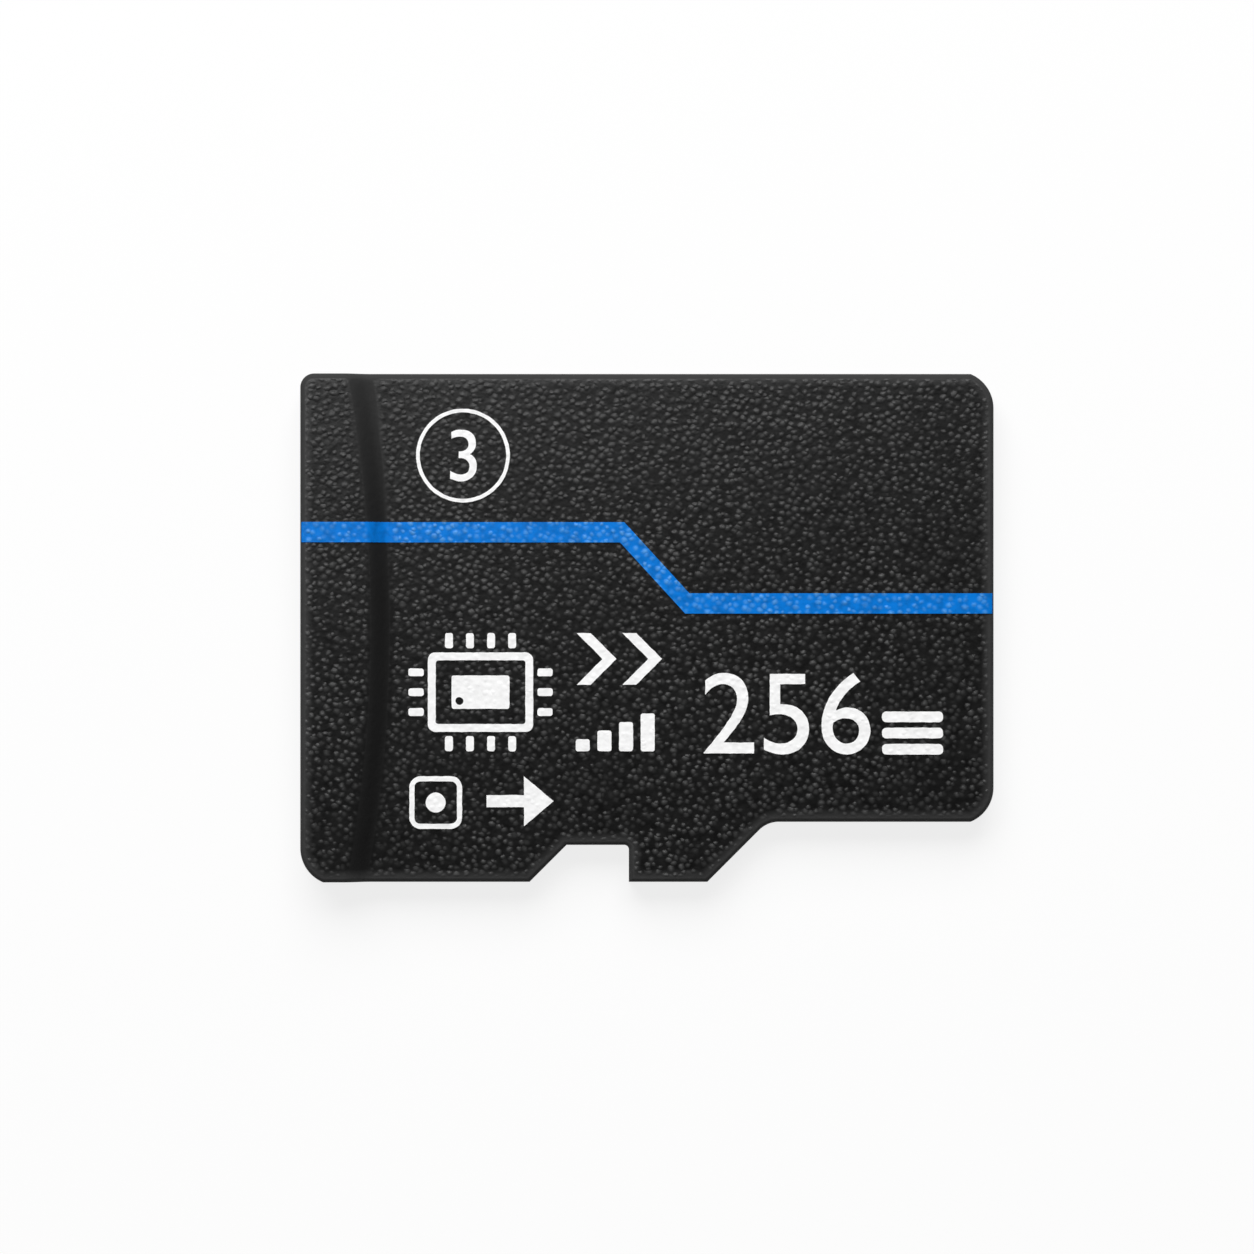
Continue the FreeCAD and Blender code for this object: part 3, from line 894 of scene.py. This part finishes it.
@dataclass
class LabelSurface:
    """The card's upper surface: the label face, the bowed ramp, the grip lip and the rounded rim.

    The grain fades in over rim_fade and ramp_fade. The plain foot of the ramp is wider by
    foot_spread at the straight side. The rim carries the most painted sheen, a painted highlight,
    where its rounding starts: that fades over sheen_fade on the face, and sheen_lost of it is gone at
    the outer edge. The ramp carries painted light, ramp_sheen of it, at the straight side, the side
    that the lamps light from.
    """

    outline: CardOutline
    face: float
    lip: float
    lip_length: float = 1.55
    ramp_run: float = 0.35
    ramp_rounding: float = 0.12
    ramp_overrun: float = 1.0
    lip_radius: float = 30.0
    rim_radius: float = 0.10
    rim_fade: float = 0.05
    ramp_fade: float = 0.15
    foot_spread: float = 0.15
    sheen_fade: float = 0.18
    sheen_lost: float = 0.3
    ramp_sheen: float = 0.6
    rim_steps: int = 6
    ramp_steps: int = 90
    edge: Loop = field(init=False)

    def __post_init__(self) -> None:
        """Keep the outline's points."""
        self.edge = self.outline.loop()

    @property
    def axis(self) -> Point:
        """The point that the bowed ramp is drawn about."""
        return -self.outline.front + self.lip_length - self.lip_radius, 0.0

    def bow(self, point: Point) -> float:
        """Give how far a point lies past the top of the ramp."""
        return math.hypot(point[0] - self.axis[0], point[1] - self.axis[1]) - self.lip_radius

    def edge_distance(self, point: Point) -> float:
        """Give a point's distance from the outline.

        Args:
            point: The point.

        Returns:
            The distance to the nearest edge.
        """
        x, y = point
        nearest = math.inf
        for (ax, ay), (bx, by) in zip(self.edge, [*self.edge[1:], self.edge[0]]):
            dx, dy = bx - ax, by - ay
            share = ((x - ax) * dx + (y - ay) * dy) / (dx * dx + dy * dy)
            share = min(max(share, 0.0), 1.0)
            nearest = min(nearest, math.hypot(x - ax - share * dx, y - ay - share * dy))
        return nearest

    def eased(self, past: float) -> float:
        """Round an edge of the ramp.

        Args:
            past: How far past the edge a point lies, negative before it.

        Returns:
            The length past the edge, or 0 before it, with the change between them rounded.
        """
        if abs(past) >= self.ramp_rounding:
            return max(past, 0.0)
        return (past + self.ramp_rounding) ** 2 / (4 * self.ramp_rounding)

    def height(self, point: Point) -> float:
        """Give the surface's height at a point, ramp and rim included.

        Args:
            point: The point.

        Returns:
            The height above the card's underside.
        """
        bow = self.bow(point)
        down_ramp = (self.eased(bow) - self.eased(bow - self.ramp_run)) / self.ramp_run
        into_rim = max(self.rim_radius - self.edge_distance(point), 0.0)
        drop = self.rim_radius - math.sqrt(max(self.rim_radius ** 2 - into_rim ** 2, 0.0))
        return self.lip + down_ramp * (self.face - self.lip) - drop

    def towards_straight(self, y: float) -> float:
        """Give how far out towards the straight side a line along the card lies, from 0 to 1, eased."""
        return max(y / self.outline.straight, 0.0) ** 2

    def from_ramp(self, point: Point) -> float:
        """Give how far a point is into the grain beside the ramp and its plain foot, from 0 to 1.

        Args:
            point: The point.

        Returns:
            0 on the ramp and its foot, 1 where the grain is full.
        """
        bow = self.bow(point)
        foot = self.ramp_run + self.foot_spread * self.towards_straight(point[1])
        return min(max(max(-bow, bow - foot) / self.ramp_fade, 0.0), 1.0)

    def grain(self, point: Point) -> float:
        """Give the share of grain at a point: none on the rim and the ramp, fading in beside them."""
        from_rim = (self.edge_distance(point) - self.rim_radius) / self.rim_fade
        return max(min(from_rim, self.from_ramp(point)), 0.0)

    def painted_sheen(self, point: Point) -> float:
        """Give how much painted sheen a point carries: a painted highlight and painted light.

        Args:
            point: The point.

        Returns:
            1 where the rim's rounding starts, less beside it, and some on the ramp towards the
            straight side.
        """
        past_rim = self.edge_distance(point) - self.rim_radius
        rim = 1.0 - max(past_rim / self.sheen_fade, -past_rim / self.rim_radius * self.sheen_lost)
        ramp = self.ramp_sheen * self.towards_straight(point[1]) * (1.0 - self.from_ramp(point))
        return max(rim, ramp)

    def rings(self) -> list[Loop]:
        """Give the loops that the rim's rounding and the skin beside it follow.

        Returns:
            The loops, from the outside in.
        """
        turns = [QUARTER * step / self.rim_steps for step in range(1, self.rim_steps + 1)]
        insets = [self.rim_radius * (1.0 - math.cos(turn)) for turn in turns]
        insets += [self.rim_radius + self.rim_fade, self.rim_radius + self.sheen_fade]
        return [self.edge, *(offset(self.edge, distance, True) for distance in insets)]

    def bowed(self, run: float) -> Loop:
        """Give the arc at a run past the top of the ramp, drawn beyond both long sides."""
        reach = math.asin((self.outline.straight + self.ramp_overrun) / self.lip_radius)
        return arc(self.axis, self.lip_radius + run, -reach, reach, self.ramp_steps)

    def ramp_lines(self) -> list[Loop]:
        """Give the lines that the ramp's rounded edges and the grain's fade follow.

        Returns:
            The lines, from the lip to the face.
        """
        bends = [self.ramp_rounding * share for share in (-1.0, -0.5, 0.0, 0.5, 1.0)]
        runs = [edge + bend for edge in (0.0, self.ramp_run) for bend in bends]
        foot = self.bowed(self.ramp_run)
        full_grain = [(x + self.foot_spread * self.towards_straight(y) + self.ramp_fade, y) for x, y in foot]
        return [*(self.bowed(run) for run in (-self.ramp_fade, *runs)), full_grain]


class SubAssembly(ABC):
    """Pieces of the card that are built and dressed together."""

    @abstractmethod
    def build(self) -> list[bpy.types.Object]:
        """Build the meshes."""

    @abstractmethod
    def dress(self, pieces: list[bpy.types.Object]) -> None:
        """Give the meshes their finish."""

    def make(self) -> list[bpy.types.Object]:
        """Build and dress the pieces, and report each.

        Returns:
            The finished pieces.
        """
        pieces = self.build()
        self.dress(pieces)
        for piece in pieces:
            LOG.info("%s: %d faces", piece.name, len(piece.data.polygons))
        return pieces


@dataclass
class MouldedBody(SubAssembly):
    """The black epoxy moulding, down to the board."""

    surface: LabelSurface
    base: float

    def build(self) -> list[bpy.types.Object]:
        """Build the moulding; its cut walls have the second material.

        Returns:
            The moulding.
        """
        surface = self.surface
        flat = triangulate(surface.rings(), surface.ramp_lines(), lambda p: inside(p, [surface.edge]))
        bm = new_mesh()
        for wall in plate(bm, flat, surface.height, lambda p: self.base, surface.grain, surface.painted_sheen):
            wall.material_index = 1
        piece = finish_mesh("epoxy_moulding", bm)
        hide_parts("moulded_body")
        return [piece]

    def dress(self, pieces: list[bpy.types.Object]) -> None:
        """Give the moulding its grained skin and its cut edges.

        Args:
            pieces: The moulding.
        """
        for piece in pieces:
            piece.data.materials.append(EPOXY.make())
            piece.data.materials.append(CUT_EPOXY.make())


@dataclass
class StripePrint(SubAssembly):
    """The blue stripe, which follows the lip, the ramp, the face and both rims."""

    surface: LabelSurface
    thickness: float
    width: float = 0.44
    rear_to_side: float = 3.43
    front_to_side: float = 4.97
    jog_to_grip: float = 7.0
    jog_run: float = 1.41
    jog_lag: float = 0.09
    end_gap: float = 0.03

    def loop(self) -> Loop:
        """Give the stripe's outline.

        Returns:
            The outline's points, counterclockwise.
        """
        outline = self.surface.outline
        end = outline.front - self.end_gap
        rear_line, front_line = outline.straight - self.rear_to_side, outline.straight - self.front_to_side
        jog = -outline.front + self.jog_to_grip
        half = self.width / 2
        return [
            (-end, rear_line - half),
            (jog - self.jog_lag, rear_line - half),
            (jog - self.jog_lag + self.jog_run, front_line - half),
            (end, front_line - half),
            (end, front_line + half),
            (jog + self.jog_run, front_line + half),
            (jog, rear_line + half),
            (-end, rear_line + half),
        ]

    def build(self) -> list[bpy.types.Object]:
        """Build the stripe as a thin coat on the moulding.

        Returns:
            The stripe.
        """
        loop = self.loop()
        paths = [loop, *self.surface.rings()]
        flat = triangulate(paths, self.surface.ramp_lines(), lambda p: inside(p, [loop]))
        height = self.surface.height
        bm = new_mesh()
        plate(bm, flat, lambda p: height(p) + self.thickness, height, self.surface.grain)
        piece = finish_mesh("blue_stripe_ink", bm)
        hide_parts("blue_stripe_print")
        return [piece]

    def dress(self, pieces: list[bpy.types.Object]) -> None:
        """Give the stripe its ink.

        Args:
            pieces: The stripe.
        """
        for piece in pieces:
            piece.data.materials.append(BLUE_INK.make())


@dataclass(frozen=True)
class MarkBox:
    """A flat box on the label face that a mark fills."""

    x0: float
    y0: float
    x1: float
    y1: float

    @property
    def width(self) -> float:
        """The box's width."""
        return self.x1 - self.x0

    @property
    def height(self) -> float:
        """The box's height."""
        return self.y1 - self.y0

    @property
    def centre(self) -> Point:
        """The box's centre."""
        return (self.x0 + self.x1) / 2, (self.y0 + self.y1) / 2


@dataclass
class WhiteMarks(SubAssembly):
    """Plain white marks on the label face: a ringed numeral, a number and small signs."""

    face: float
    thickness: float
    ring_centre: Point
    ring_diameter: float = 2.03
    ring_stroke: float = 0.08
    ring_steps: int = 96
    corner: float = 0.05
    wobble: float = 0.007
    wobble_size: float = 0.11
    wobble_step: float = 0.035
    wobble_seed: int = 7
    ring_numeral: MarkBox = MarkBox(-4.41, 3.17, -3.55, 4.29)
    number: MarkBox = MarkBox(1.22, -2.74, 4.83, -0.97)
    stack: MarkBox = MarkBox(5.08, -2.74, 6.40, -1.81)
    chip: MarkBox = MarkBox(-5.17, -2.67, -2.05, -0.11)
    chevrons: MarkBox = MarkBox(-1.53, -1.23, 0.32, -0.11)
    bars: MarkBox = MarkBox(-1.55, -2.67, 0.16, -1.85)
    tile: MarkBox = MarkBox(-5.15, -4.35, -4.01, -3.21)
    arrow: MarkBox = MarkBox(-3.48, -4.29, -2.03, -3.21)

    def ring(self) -> list[Loop]:
        """Give the ring's two circles."""
        radii = (self.ring_diameter / 2, self.ring_diameter / 2 - self.ring_stroke)
        return [disc(self.ring_centre, radius, self.ring_steps) for radius in radii]

    def numerals(self, text: str, box: MarkBox) -> list[Loop]:
        """Give numerals of a plain sans letterform, as large as fits in a box.

        Args:
            text: The digits.
            box: The box that they stand in.

        Returns:
            The outlines of the digits.
        """
        curve = bpy.data.curves.new("numerals", "FONT")
        curve.body = text
        curve.resolution_u = 8
        holder = bpy.data.objects.new("numerals", curve)
        bpy.context.scene.collection.objects.link(holder)
        view = bpy.context.evaluated_depsgraph_get()
        mesh = bpy.data.meshes.new_from_object(holder.evaluated_get(view))
        loops = boundary_loops(mesh)
        bpy.data.objects.remove(holder)
        bpy.data.curves.remove(curve)
        bpy.data.meshes.remove(mesh)
        xs = [x for loop in loops for x, _ in loop]
        ys = [y for loop in loops for _, y in loop]
        middle_x, middle_y = (min(xs) + max(xs)) / 2, (min(ys) + max(ys)) / 2
        size = min(box.width / (max(xs) - min(xs)), box.height / (max(ys) - min(ys)))
        cx, cy = box.centre
        return [[(cx + (x - middle_x) * size, cy + (y - middle_y) * size) for x, y in loop] for loop in loops]

    def chip_sign(self) -> list[Loop]:
        """Give a chip seen from above: a frame, a core with a dot, and legs on all four sides.

        Returns:
            The outlines of the sign.
        """
        line, gap, leg = 0.17, 0.09, 0.33
        frame_corner, hole_corner = 0.16, 0.06
        core_share = (0.55, 0.42)
        dot, dot_steps = 0.085, 20
        leg_counts = (4, 3)
        cx, cy = self.chip.centre
        reach = (self.chip.width / 2, self.chip.height / 2)
        case = (reach[0] - leg - gap, reach[1] - leg - gap)
        hole = (case[0] - line, case[1] - line)
        core = (case[0] * core_share[0], case[1] * core_share[1])
        loops = [
            rounded((cx - half[0], cy - half[1]), (cx + half[0], cy + half[1]), corner)
            for half, corner in ((case, frame_corner), (hole, hole_corner), (core, self.corner))
        ]
        loops.append(disc((cx - core[0] + 2 * dot, cy - core[1] + 2 * dot), dot, dot_steps))
        for axis, legs in enumerate(leg_counts):
            pitch = 2 * case[axis] / (legs + 1)
            for number in range(legs):
                along = -case[axis] + pitch * (number + 1)
                for side in (-1, 1):
                    near, far = sorted((side * (case[1 - axis] + gap), side * reach[1 - axis]))
                    ends = [(along - line / 2, near), (along + line / 2, far)]
                    if axis == 1:
                        ends = [end[::-1] for end in ends]
                    low, high = ((cx + x, cy + y) for x, y in ends)
                    loops.append(rounded(low, high, self.corner))
        return loops

    def chevron_signs(self) -> list[Loop]:
        """Give two chevrons that point to the contact end.

        Returns:
            The outlines of the chevrons.
        """
        box, line = self.chevrons, 0.30
        depth = box.height / 2
        step = box.width - depth - line
        middle = box.centre[1]
        return [
            [
                (x, box.y0),
                (x + line, box.y0),
                (x + line + depth, middle),
                (x + line, box.y1),
                (x, box.y1),
                (x + depth, middle),
            ]
            for x in (box.x0, box.x0 + step)
        ]

    def bar_signs(self) -> list[Loop]:
        """Give four bars that rise towards the contact end.

        Returns:
            The outlines of the bars.
        """
        box, count, fill, lowest = self.bars, 4, 0.65, 0.32
        pitch = box.width / (count - 1 + fill)
        rise = (1.0 - lowest) / (count - 1)
        return [
            rounded(
                (box.x0 + number * pitch, box.y0),
                (box.x0 + (number + fill) * pitch, box.y0 + box.height * (lowest + rise * number)),
                self.corner,
            )
            for number in range(count)
        ]

    def tile_sign(self) -> list[Loop]:
        """Give a square tile with an open frame and a dot.

        Returns:
            The outlines of the sign.
        """
        box, line, corner = self.tile, 0.11, 0.24
        dot_share, dot_steps = 0.19, 32
        return [
            rounded((box.x0, box.y0), (box.x1, box.y1), corner),
            rounded((box.x0 + line, box.y0 + line), (box.x1 - line, box.y1 - line), corner - line),
            disc(box.centre, box.width * dot_share, dot_steps),
        ]

    def arrow_sign(self) -> list[Loop]:
        """Give an arrow in the direction that the card goes in.

        Returns:
            The outline of the arrow.
        """
        box, line, head = self.arrow, 0.26, 0.64
        middle = box.centre[1]
        neck = box.x1 - head
        return [[
            (box.x0, middle - line / 2),
            (neck, middle - line / 2),
            (neck, box.y0),
            (box.x1, middle),
            (neck, box.y1),
            (neck, middle + line / 2),
            (box.x0, middle + line / 2),
        ]]

    def stack_sign(self) -> list[Loop]:
        """Give three stacked plates.

        Returns:
            The outlines of the plates.
        """
        box, count, fill, corner = self.stack, 3, 0.66, 0.09
        pitch = box.height / (count - 1 + fill)
        return [
            rounded((box.x0, box.y0 + number * pitch), (box.x1, box.y0 + (number + fill) * pitch), corner)
            for number in range(count)
        ]

    def wavered(self, loop: Loop) -> Loop:
        """Give a loop the slight waver of ink on a grained surface.

        Args:
            loop: The clean outline.

        Returns:
            The outline with points close together, each moved a little.
        """
        moved = []
        for (ax, ay), (bx, by) in zip(loop, [*loop[1:], loop[0]]):
            steps = max(1, round(math.hypot(bx - ax, by - ay) / self.wobble_step))
            for step in range(steps):
                x, y = ax + (bx - ax) * step / steps, ay + (by - ay) * step / steps
                shift = noise.noise_vector(Vector((x, y, 0.0)) / self.wobble_size)
                moved.append((x + self.wobble * shift.x, y + self.wobble * shift.y))
        return moved

    def build(self) -> list[bpy.types.Object]:
        """Build every mark as a thin coat of ink; the ring stands for the CAD ring.

        Returns:
            The marks, the ring first.
        """
        marks = {
            "ring_ink": self.ring(),
            "ring_numeral_ink": self.numerals("3", self.ring_numeral),
            "number_ink": self.numerals("256", self.number),
            "stack_sign_ink": self.stack_sign(),
            "chip_sign_ink": self.chip_sign(),
            "chevron_sign_ink": self.chevron_signs(),
            "bar_sign_ink": self.bar_signs(),
            "tile_sign_ink": self.tile_sign(),
            "arrow_sign_ink": self.arrow_sign(),
        }
        # Without a seed this noise starts from the clock, and the ink would waver differently in each run.
        noise.seed_set(self.wobble_seed)
        pieces = {}
        for name, loops in marks.items():
            edges = [self.wavered(loop) for loop in loops]
            flat = triangulate(edges, [], lambda p: inside(p, edges))
            bm = new_mesh()
            plate(bm, flat, lambda p: self.face + self.thickness, lambda p: self.face)
            pieces[name] = finish_mesh(name, bm)
        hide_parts("white_ring_print")
        return list(pieces.values())

    def dress(self, pieces: list[bpy.types.Object]) -> None:
        """Give the marks their ink.

        Args:
            pieces: The marks.
        """
        ink = WHITE_INK.make()
        for piece in pieces:
            piece.data.materials.append(ink)


@dataclass
class SubstrateBoard(SubAssembly):
    """The circuit board: solder mask underneath, with an opening over each contact and faint traces."""

    outline: CardOutline
    top: float
    pads: list[tuple[Vector, Vector]]
    trace_width: float = 0.12
    trace_height: float = 0.004
    trace_pitch: float = 0.55
    trace_lead: float = 0.5
    trace_length: float = 4.2
    trace_stagger: float = 0.7
    stagger_rows: int = 3
    land_radius: float = 0.17
    land_steps: int = 24

    def openings(self) -> list[tuple[Loop, float]]:
        """Give each contact's opening and the height of its floor."""
        return [
            ([(low.x, low.y), (high.x, low.y), (high.x, high.y), (low.x, high.y)], high.z)
            for low, high in self.pads
        ]

    def traces(self) -> list[Loop]:
        """Give the conductors that run back from the contacts under the mask, each to a round land.

        Returns:
            One outline for each contact.
        """
        rear = min(low.x for low, _ in self.pads)
        bend = rear - self.trace_lead
        centres = [(low.y + high.y) / 2 for low, high in self.pads]
        middle = sum(centres) / len(centres)
        half = self.trace_width / 2
        opening = math.asin(half / self.land_radius)
        loops = []
        for number, y in enumerate(centres):
            line = middle + (number - (len(centres) - 1) / 2) * self.trace_pitch
            end = rear - self.trace_length - self.trace_stagger * (number % self.stagger_rows)
            path = [(rear, y), (bend, y), (bend - abs(line - y), line), (end, line)]
            left, right = offset(path, half, False), offset(path, -half, False)
            land = arc(path[-1], self.land_radius, math.tau - opening, opening, self.land_steps)
            loops.append([*left[:-1], *land, *reversed(right[:-1])])
        return loops

    def build(self) -> list[bpy.types.Object]:
        """Build the board, whose cut walls have the second material, and its traces.

        Returns:
            The board and the traces.
        """
        loop = self.outline.loop()
        openings = self.openings()
        paths = [loop, *(opening for opening, _ in openings)]
        flat = triangulate(paths, [], lambda p: inside(p, paths))
        bm = new_mesh()
        for wall in plate(bm, flat, lambda p: self.top, lambda p: 0.0):
            wall.material_index = 1
        for opening, floor in openings:
            plate(bm, (opening, [list(range(len(opening)))]), lambda p: self.top, lambda p: floor)
        board = finish_mesh("circuit_board", bm)
        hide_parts("substrate_board")
        traces = self.traces()
        flat = triangulate(traces, [], lambda p: inside(p, traces))
        bm = new_mesh()
        plate(bm, flat, lambda p: 0.0, lambda p: -self.trace_height)
        return [board, finish_mesh("masked_traces", bm)]

    def dress(self, pieces: list[bpy.types.Object]) -> None:
        """Give the board its solder mask and its cut edges.

        Args:
            pieces: The board and the traces.
        """
        mask, cut = SOLDER_MASK.make(), CUT_LAMINATE.make()
        for piece in pieces:
            piece.data.materials.append(mask)
            piece.data.materials.append(cut)


@dataclass
class FrameNodes(SubAssembly):
    """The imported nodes: the contacts, what the epoxy hides, and those that a piece here stands for."""

    nodes: dict[str, bpy.types.Object]
    subparts: list[dict[str, Any]]

    FINISHES: ClassVar[dict[Slot, Finish]] = {
        Slot.EPOXY: EPOXY,
        Slot.MASK: SOLDER_MASK,
        Slot.GOLD: GOLD_PLATING,
        Slot.SILICON: SILICON,
        Slot.FILM: DIE_FILM,
        Slot.WIRE: GOLD_WIRE,
        Slot.CAPACITOR: CAPACITOR,
        Slot.BLUE_INK: BLUE_INK,
        Slot.WHITE_INK: WHITE_INK,
    }

    def build(self) -> list[bpy.types.Object]:
        """Give the nodes as they were packed."""
        return [self.nodes[part["node"]] for part in self.subparts]

    def dress(self, pieces: list[bpy.types.Object]) -> None:
        """Give each node the finish of its slot.

        Args:
            pieces: The nodes, in the order of the subparts.
        """
        made = {slot: finish.make() for slot, finish in self.FINISHES.items()}
        for piece, part in zip(pieces, self.subparts):
            piece.data.materials.clear()
            piece.data.materials.append(made[Slot(part["material_slot"])])


@dataclass(frozen=True)
class Softbox:
    """A rectangular soft light that faces the card; its level is what it gives a flat white surface."""

    name: str
    place: tuple[float, float, float]
    size: Point
    level: float
    diffuse: bool = True
    gloss: bool = True

    def hang(self, target: Vector) -> None:
        """Hang the light where it belongs.

        Args:
            target: The point that it faces, in millimetres.
        """
        aim = target - Vector(self.place)
        facing = -aim.normalized().z
        data = bpy.data.lights.new(self.name, "AREA")
        data.shape = "RECTANGLE"
        data.size, data.size_y = (side * MM for side in self.size)
        data.energy = self.level * math.pi ** 2 * (aim.length * MM) ** 2 / facing
        lamp = bpy.data.objects.new(self.name, data)
        lamp.location = Vector(self.place) * MM
        lamp.rotation_euler = aim.to_track_quat("-Z", "Y").to_euler()
        lamp.visible_camera = False
        lamp.visible_diffuse = self.diffuse
        lamp.visible_glossy = self.gloss
        bpy.context.scene.collection.objects.link(lamp)


@dataclass
class Studio:
    """The pale floor, the soft light and the camera above the card."""

    face: float
    pixels_per_mm: float = 46.2
    frame_pixels: int = 1254
    view_centre: Point = (-0.44, 0.02)
    camera_height: float = 120.0
    sensor: float = 36.0
    floor_radius: float = 450.0
    floor_level: float = -0.006
    floor_steps: int = 64
    paper: str = "#F6F6F6"
    glow_share: float = 0.82
    fill_level: float = 0.10
    key: Softbox = Softbox("key_softbox", (-35.0, 225.0, 190.0), (320.0, 220.0), 1.15, gloss=False)
    strip: Softbox = Softbox("gloss_strip", (-4.0, 14.5, 25.0), (52.0, 8.0), 0.80, diffuse=False)

    # The floor's rings, as shares of its radius: how far out each lies, and how far it rises.
    FLOOR_PROFILE: ClassVar[list[Point]] = [(0.2, 0.0), (0.6, 0.0), (0.85, 0.01), (0.95, 0.03), (1.0, 0.08)]

    def lay_floor(self) -> None:
        """Lay the floor, a wide dish of white paper that rises far from the card."""
        around = self.floor_steps
        bm = bmesh.new()
        before = [bm.verts.new((0.0, 0.0, self.floor_level))] * around
        for share, rise in self.FLOOR_PROFILE:
            circle = disc((0.0, 0.0), self.floor_radius * share, around)
            ring = [bm.verts.new((*point, self.floor_level + self.floor_radius * rise)) for point in circle]
            for step in range(around):
                after = (step + 1) % around
                corners = [before[step], ring[step], ring[after], before[after]]
                bm.faces.new(list(dict.fromkeys(corners)))
            before = ring
        mesh = bpy.data.meshes.new("studio_floor")
        bm.to_mesh(mesh)
        bm.free()
        mesh.transform(Matrix.Scale(MM, 4))
        mesh.shade_smooth()
        mesh.materials.append(self.paper_material())
        floor = bpy.data.objects.new("studio_floor", mesh)
        bpy.context.scene.collection.objects.link(floor)
        floor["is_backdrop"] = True

    def paper_material(self) -> bpy.types.Material:
        """Build matt white paper; part of what the camera and reflections see of it is an even white.

        Returns:
            The material.
        """
        material, tree, surface = new_material("matt_white_paper")
        matt = add_node(tree, "ShaderNodeBsdfDiffuse", {"Color": linear(self.paper)})
        glow = add_node(tree, "ShaderNodeEmission", {"Color": linear(WHITE), "Strength": 1.0})
        path = add_node(tree, "ShaderNodeLightPath")
        seen = path.outputs["Is Camera Ray"]
        for ray in ("Is Glossy Ray", "Is Transmission Ray"):
            either = add_node(tree, "ShaderNodeMath", {0: seen, 1: path.outputs[ray]}, operation="MAXIMUM")
            seen = either.outputs["Value"]
        share = add_node(tree, "ShaderNodeMath", {0: seen, 1: self.glow_share}, operation="MULTIPLY")
        mixed = add_node(
            tree,
            "ShaderNodeMixShader",
            {0: share.outputs["Value"], 1: matt.outputs["BSDF"], 2: glow.outputs["Emission"]},
        )
        tree.links.new(mixed.outputs["Shader"], surface)
        return material

    def light(self) -> None:
        """Hang the lights beyond the straight side, and fill from all round."""
        target = Vector((0.0, 0.0, self.face))
        for lamp in (self.key, self.strip):
            lamp.hang(target)
        world = bpy.data.worlds.new("studio_fill")
        world.use_nodes = True
        tree = world.node_tree
        tree.nodes.clear()
        fill = add_node(tree, "ShaderNodeBackground", {"Color": linear(WHITE), "Strength": self.fill_level})
        add_node(tree, "ShaderNodeOutputWorld", {"Surface": fill.outputs["Background"]})
        bpy.context.scene.world = world

    def aim_camera(self) -> None:
        """Set the camera straight above the card, with the straight side at the top of the picture."""
        data = bpy.data.cameras.new("camera")
        data.sensor_width = self.sensor
        data.lens = self.sensor * self.camera_height * self.pixels_per_mm / self.frame_pixels
        data.clip_start = MM
        camera = bpy.data.objects.new("camera", data)
        camera.location = Vector((*self.view_centre, self.face + self.camera_height)) * MM
        bpy.context.scene.collection.objects.link(camera)
        bpy.context.scene.camera = camera

    def build(self) -> None:
        """Set up the whole studio."""
        self.lay_floor()
        self.light()
        self.aim_camera()
        bpy.context.scene.view_settings.view_transform = "Standard"


def box_mm(node: str) -> tuple[Vector, Vector]:
    """Give a node's lowest and highest corners in millimetres."""
    low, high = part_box(node)
    return low / MM, high / MM


def main() -> None:
    """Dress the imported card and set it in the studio."""
    logging.basicConfig(level=logging.INFO, format="%(message)s")
    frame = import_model()
    cad_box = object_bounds()

    body_low, body_high = box_mm("moulded_body")
    board_low, board_high = box_mm("substrate_board")
    ring_low, ring_high = box_mm("white_ring_print")
    pads = [box_mm(name) for name in sorted(frame["nodes"]) if name.startswith("contact_pad")]
    outline = CardOutline(length=board_high.x - board_low.x, width=board_high.y - board_low.y)
    surface = LabelSurface(outline, face=ring_low.z, lip=body_high.z)
    ink_thickness = ring_high.z - ring_low.z
    ring_centre = ((ring_low.x + ring_high.x) / 2, (ring_low.y + ring_high.y) / 2)

    FrameNodes(frame["nodes"], frame["record"]["subparts"]).make()
    SubstrateBoard(outline, board_high.z, pads).make()
    MouldedBody(surface, body_low.z).make()
    StripePrint(surface, ink_thickness).make()
    WhiteMarks(surface.face, ink_thickness, ring_centre).make()
    Studio(surface.face).build()

    boxes = {"cad": cad_box, "visual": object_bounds()}
    {name: [list(corner) for corner in box] for name, box in boxes.items()}


if __name__ == "__main__":
    main()
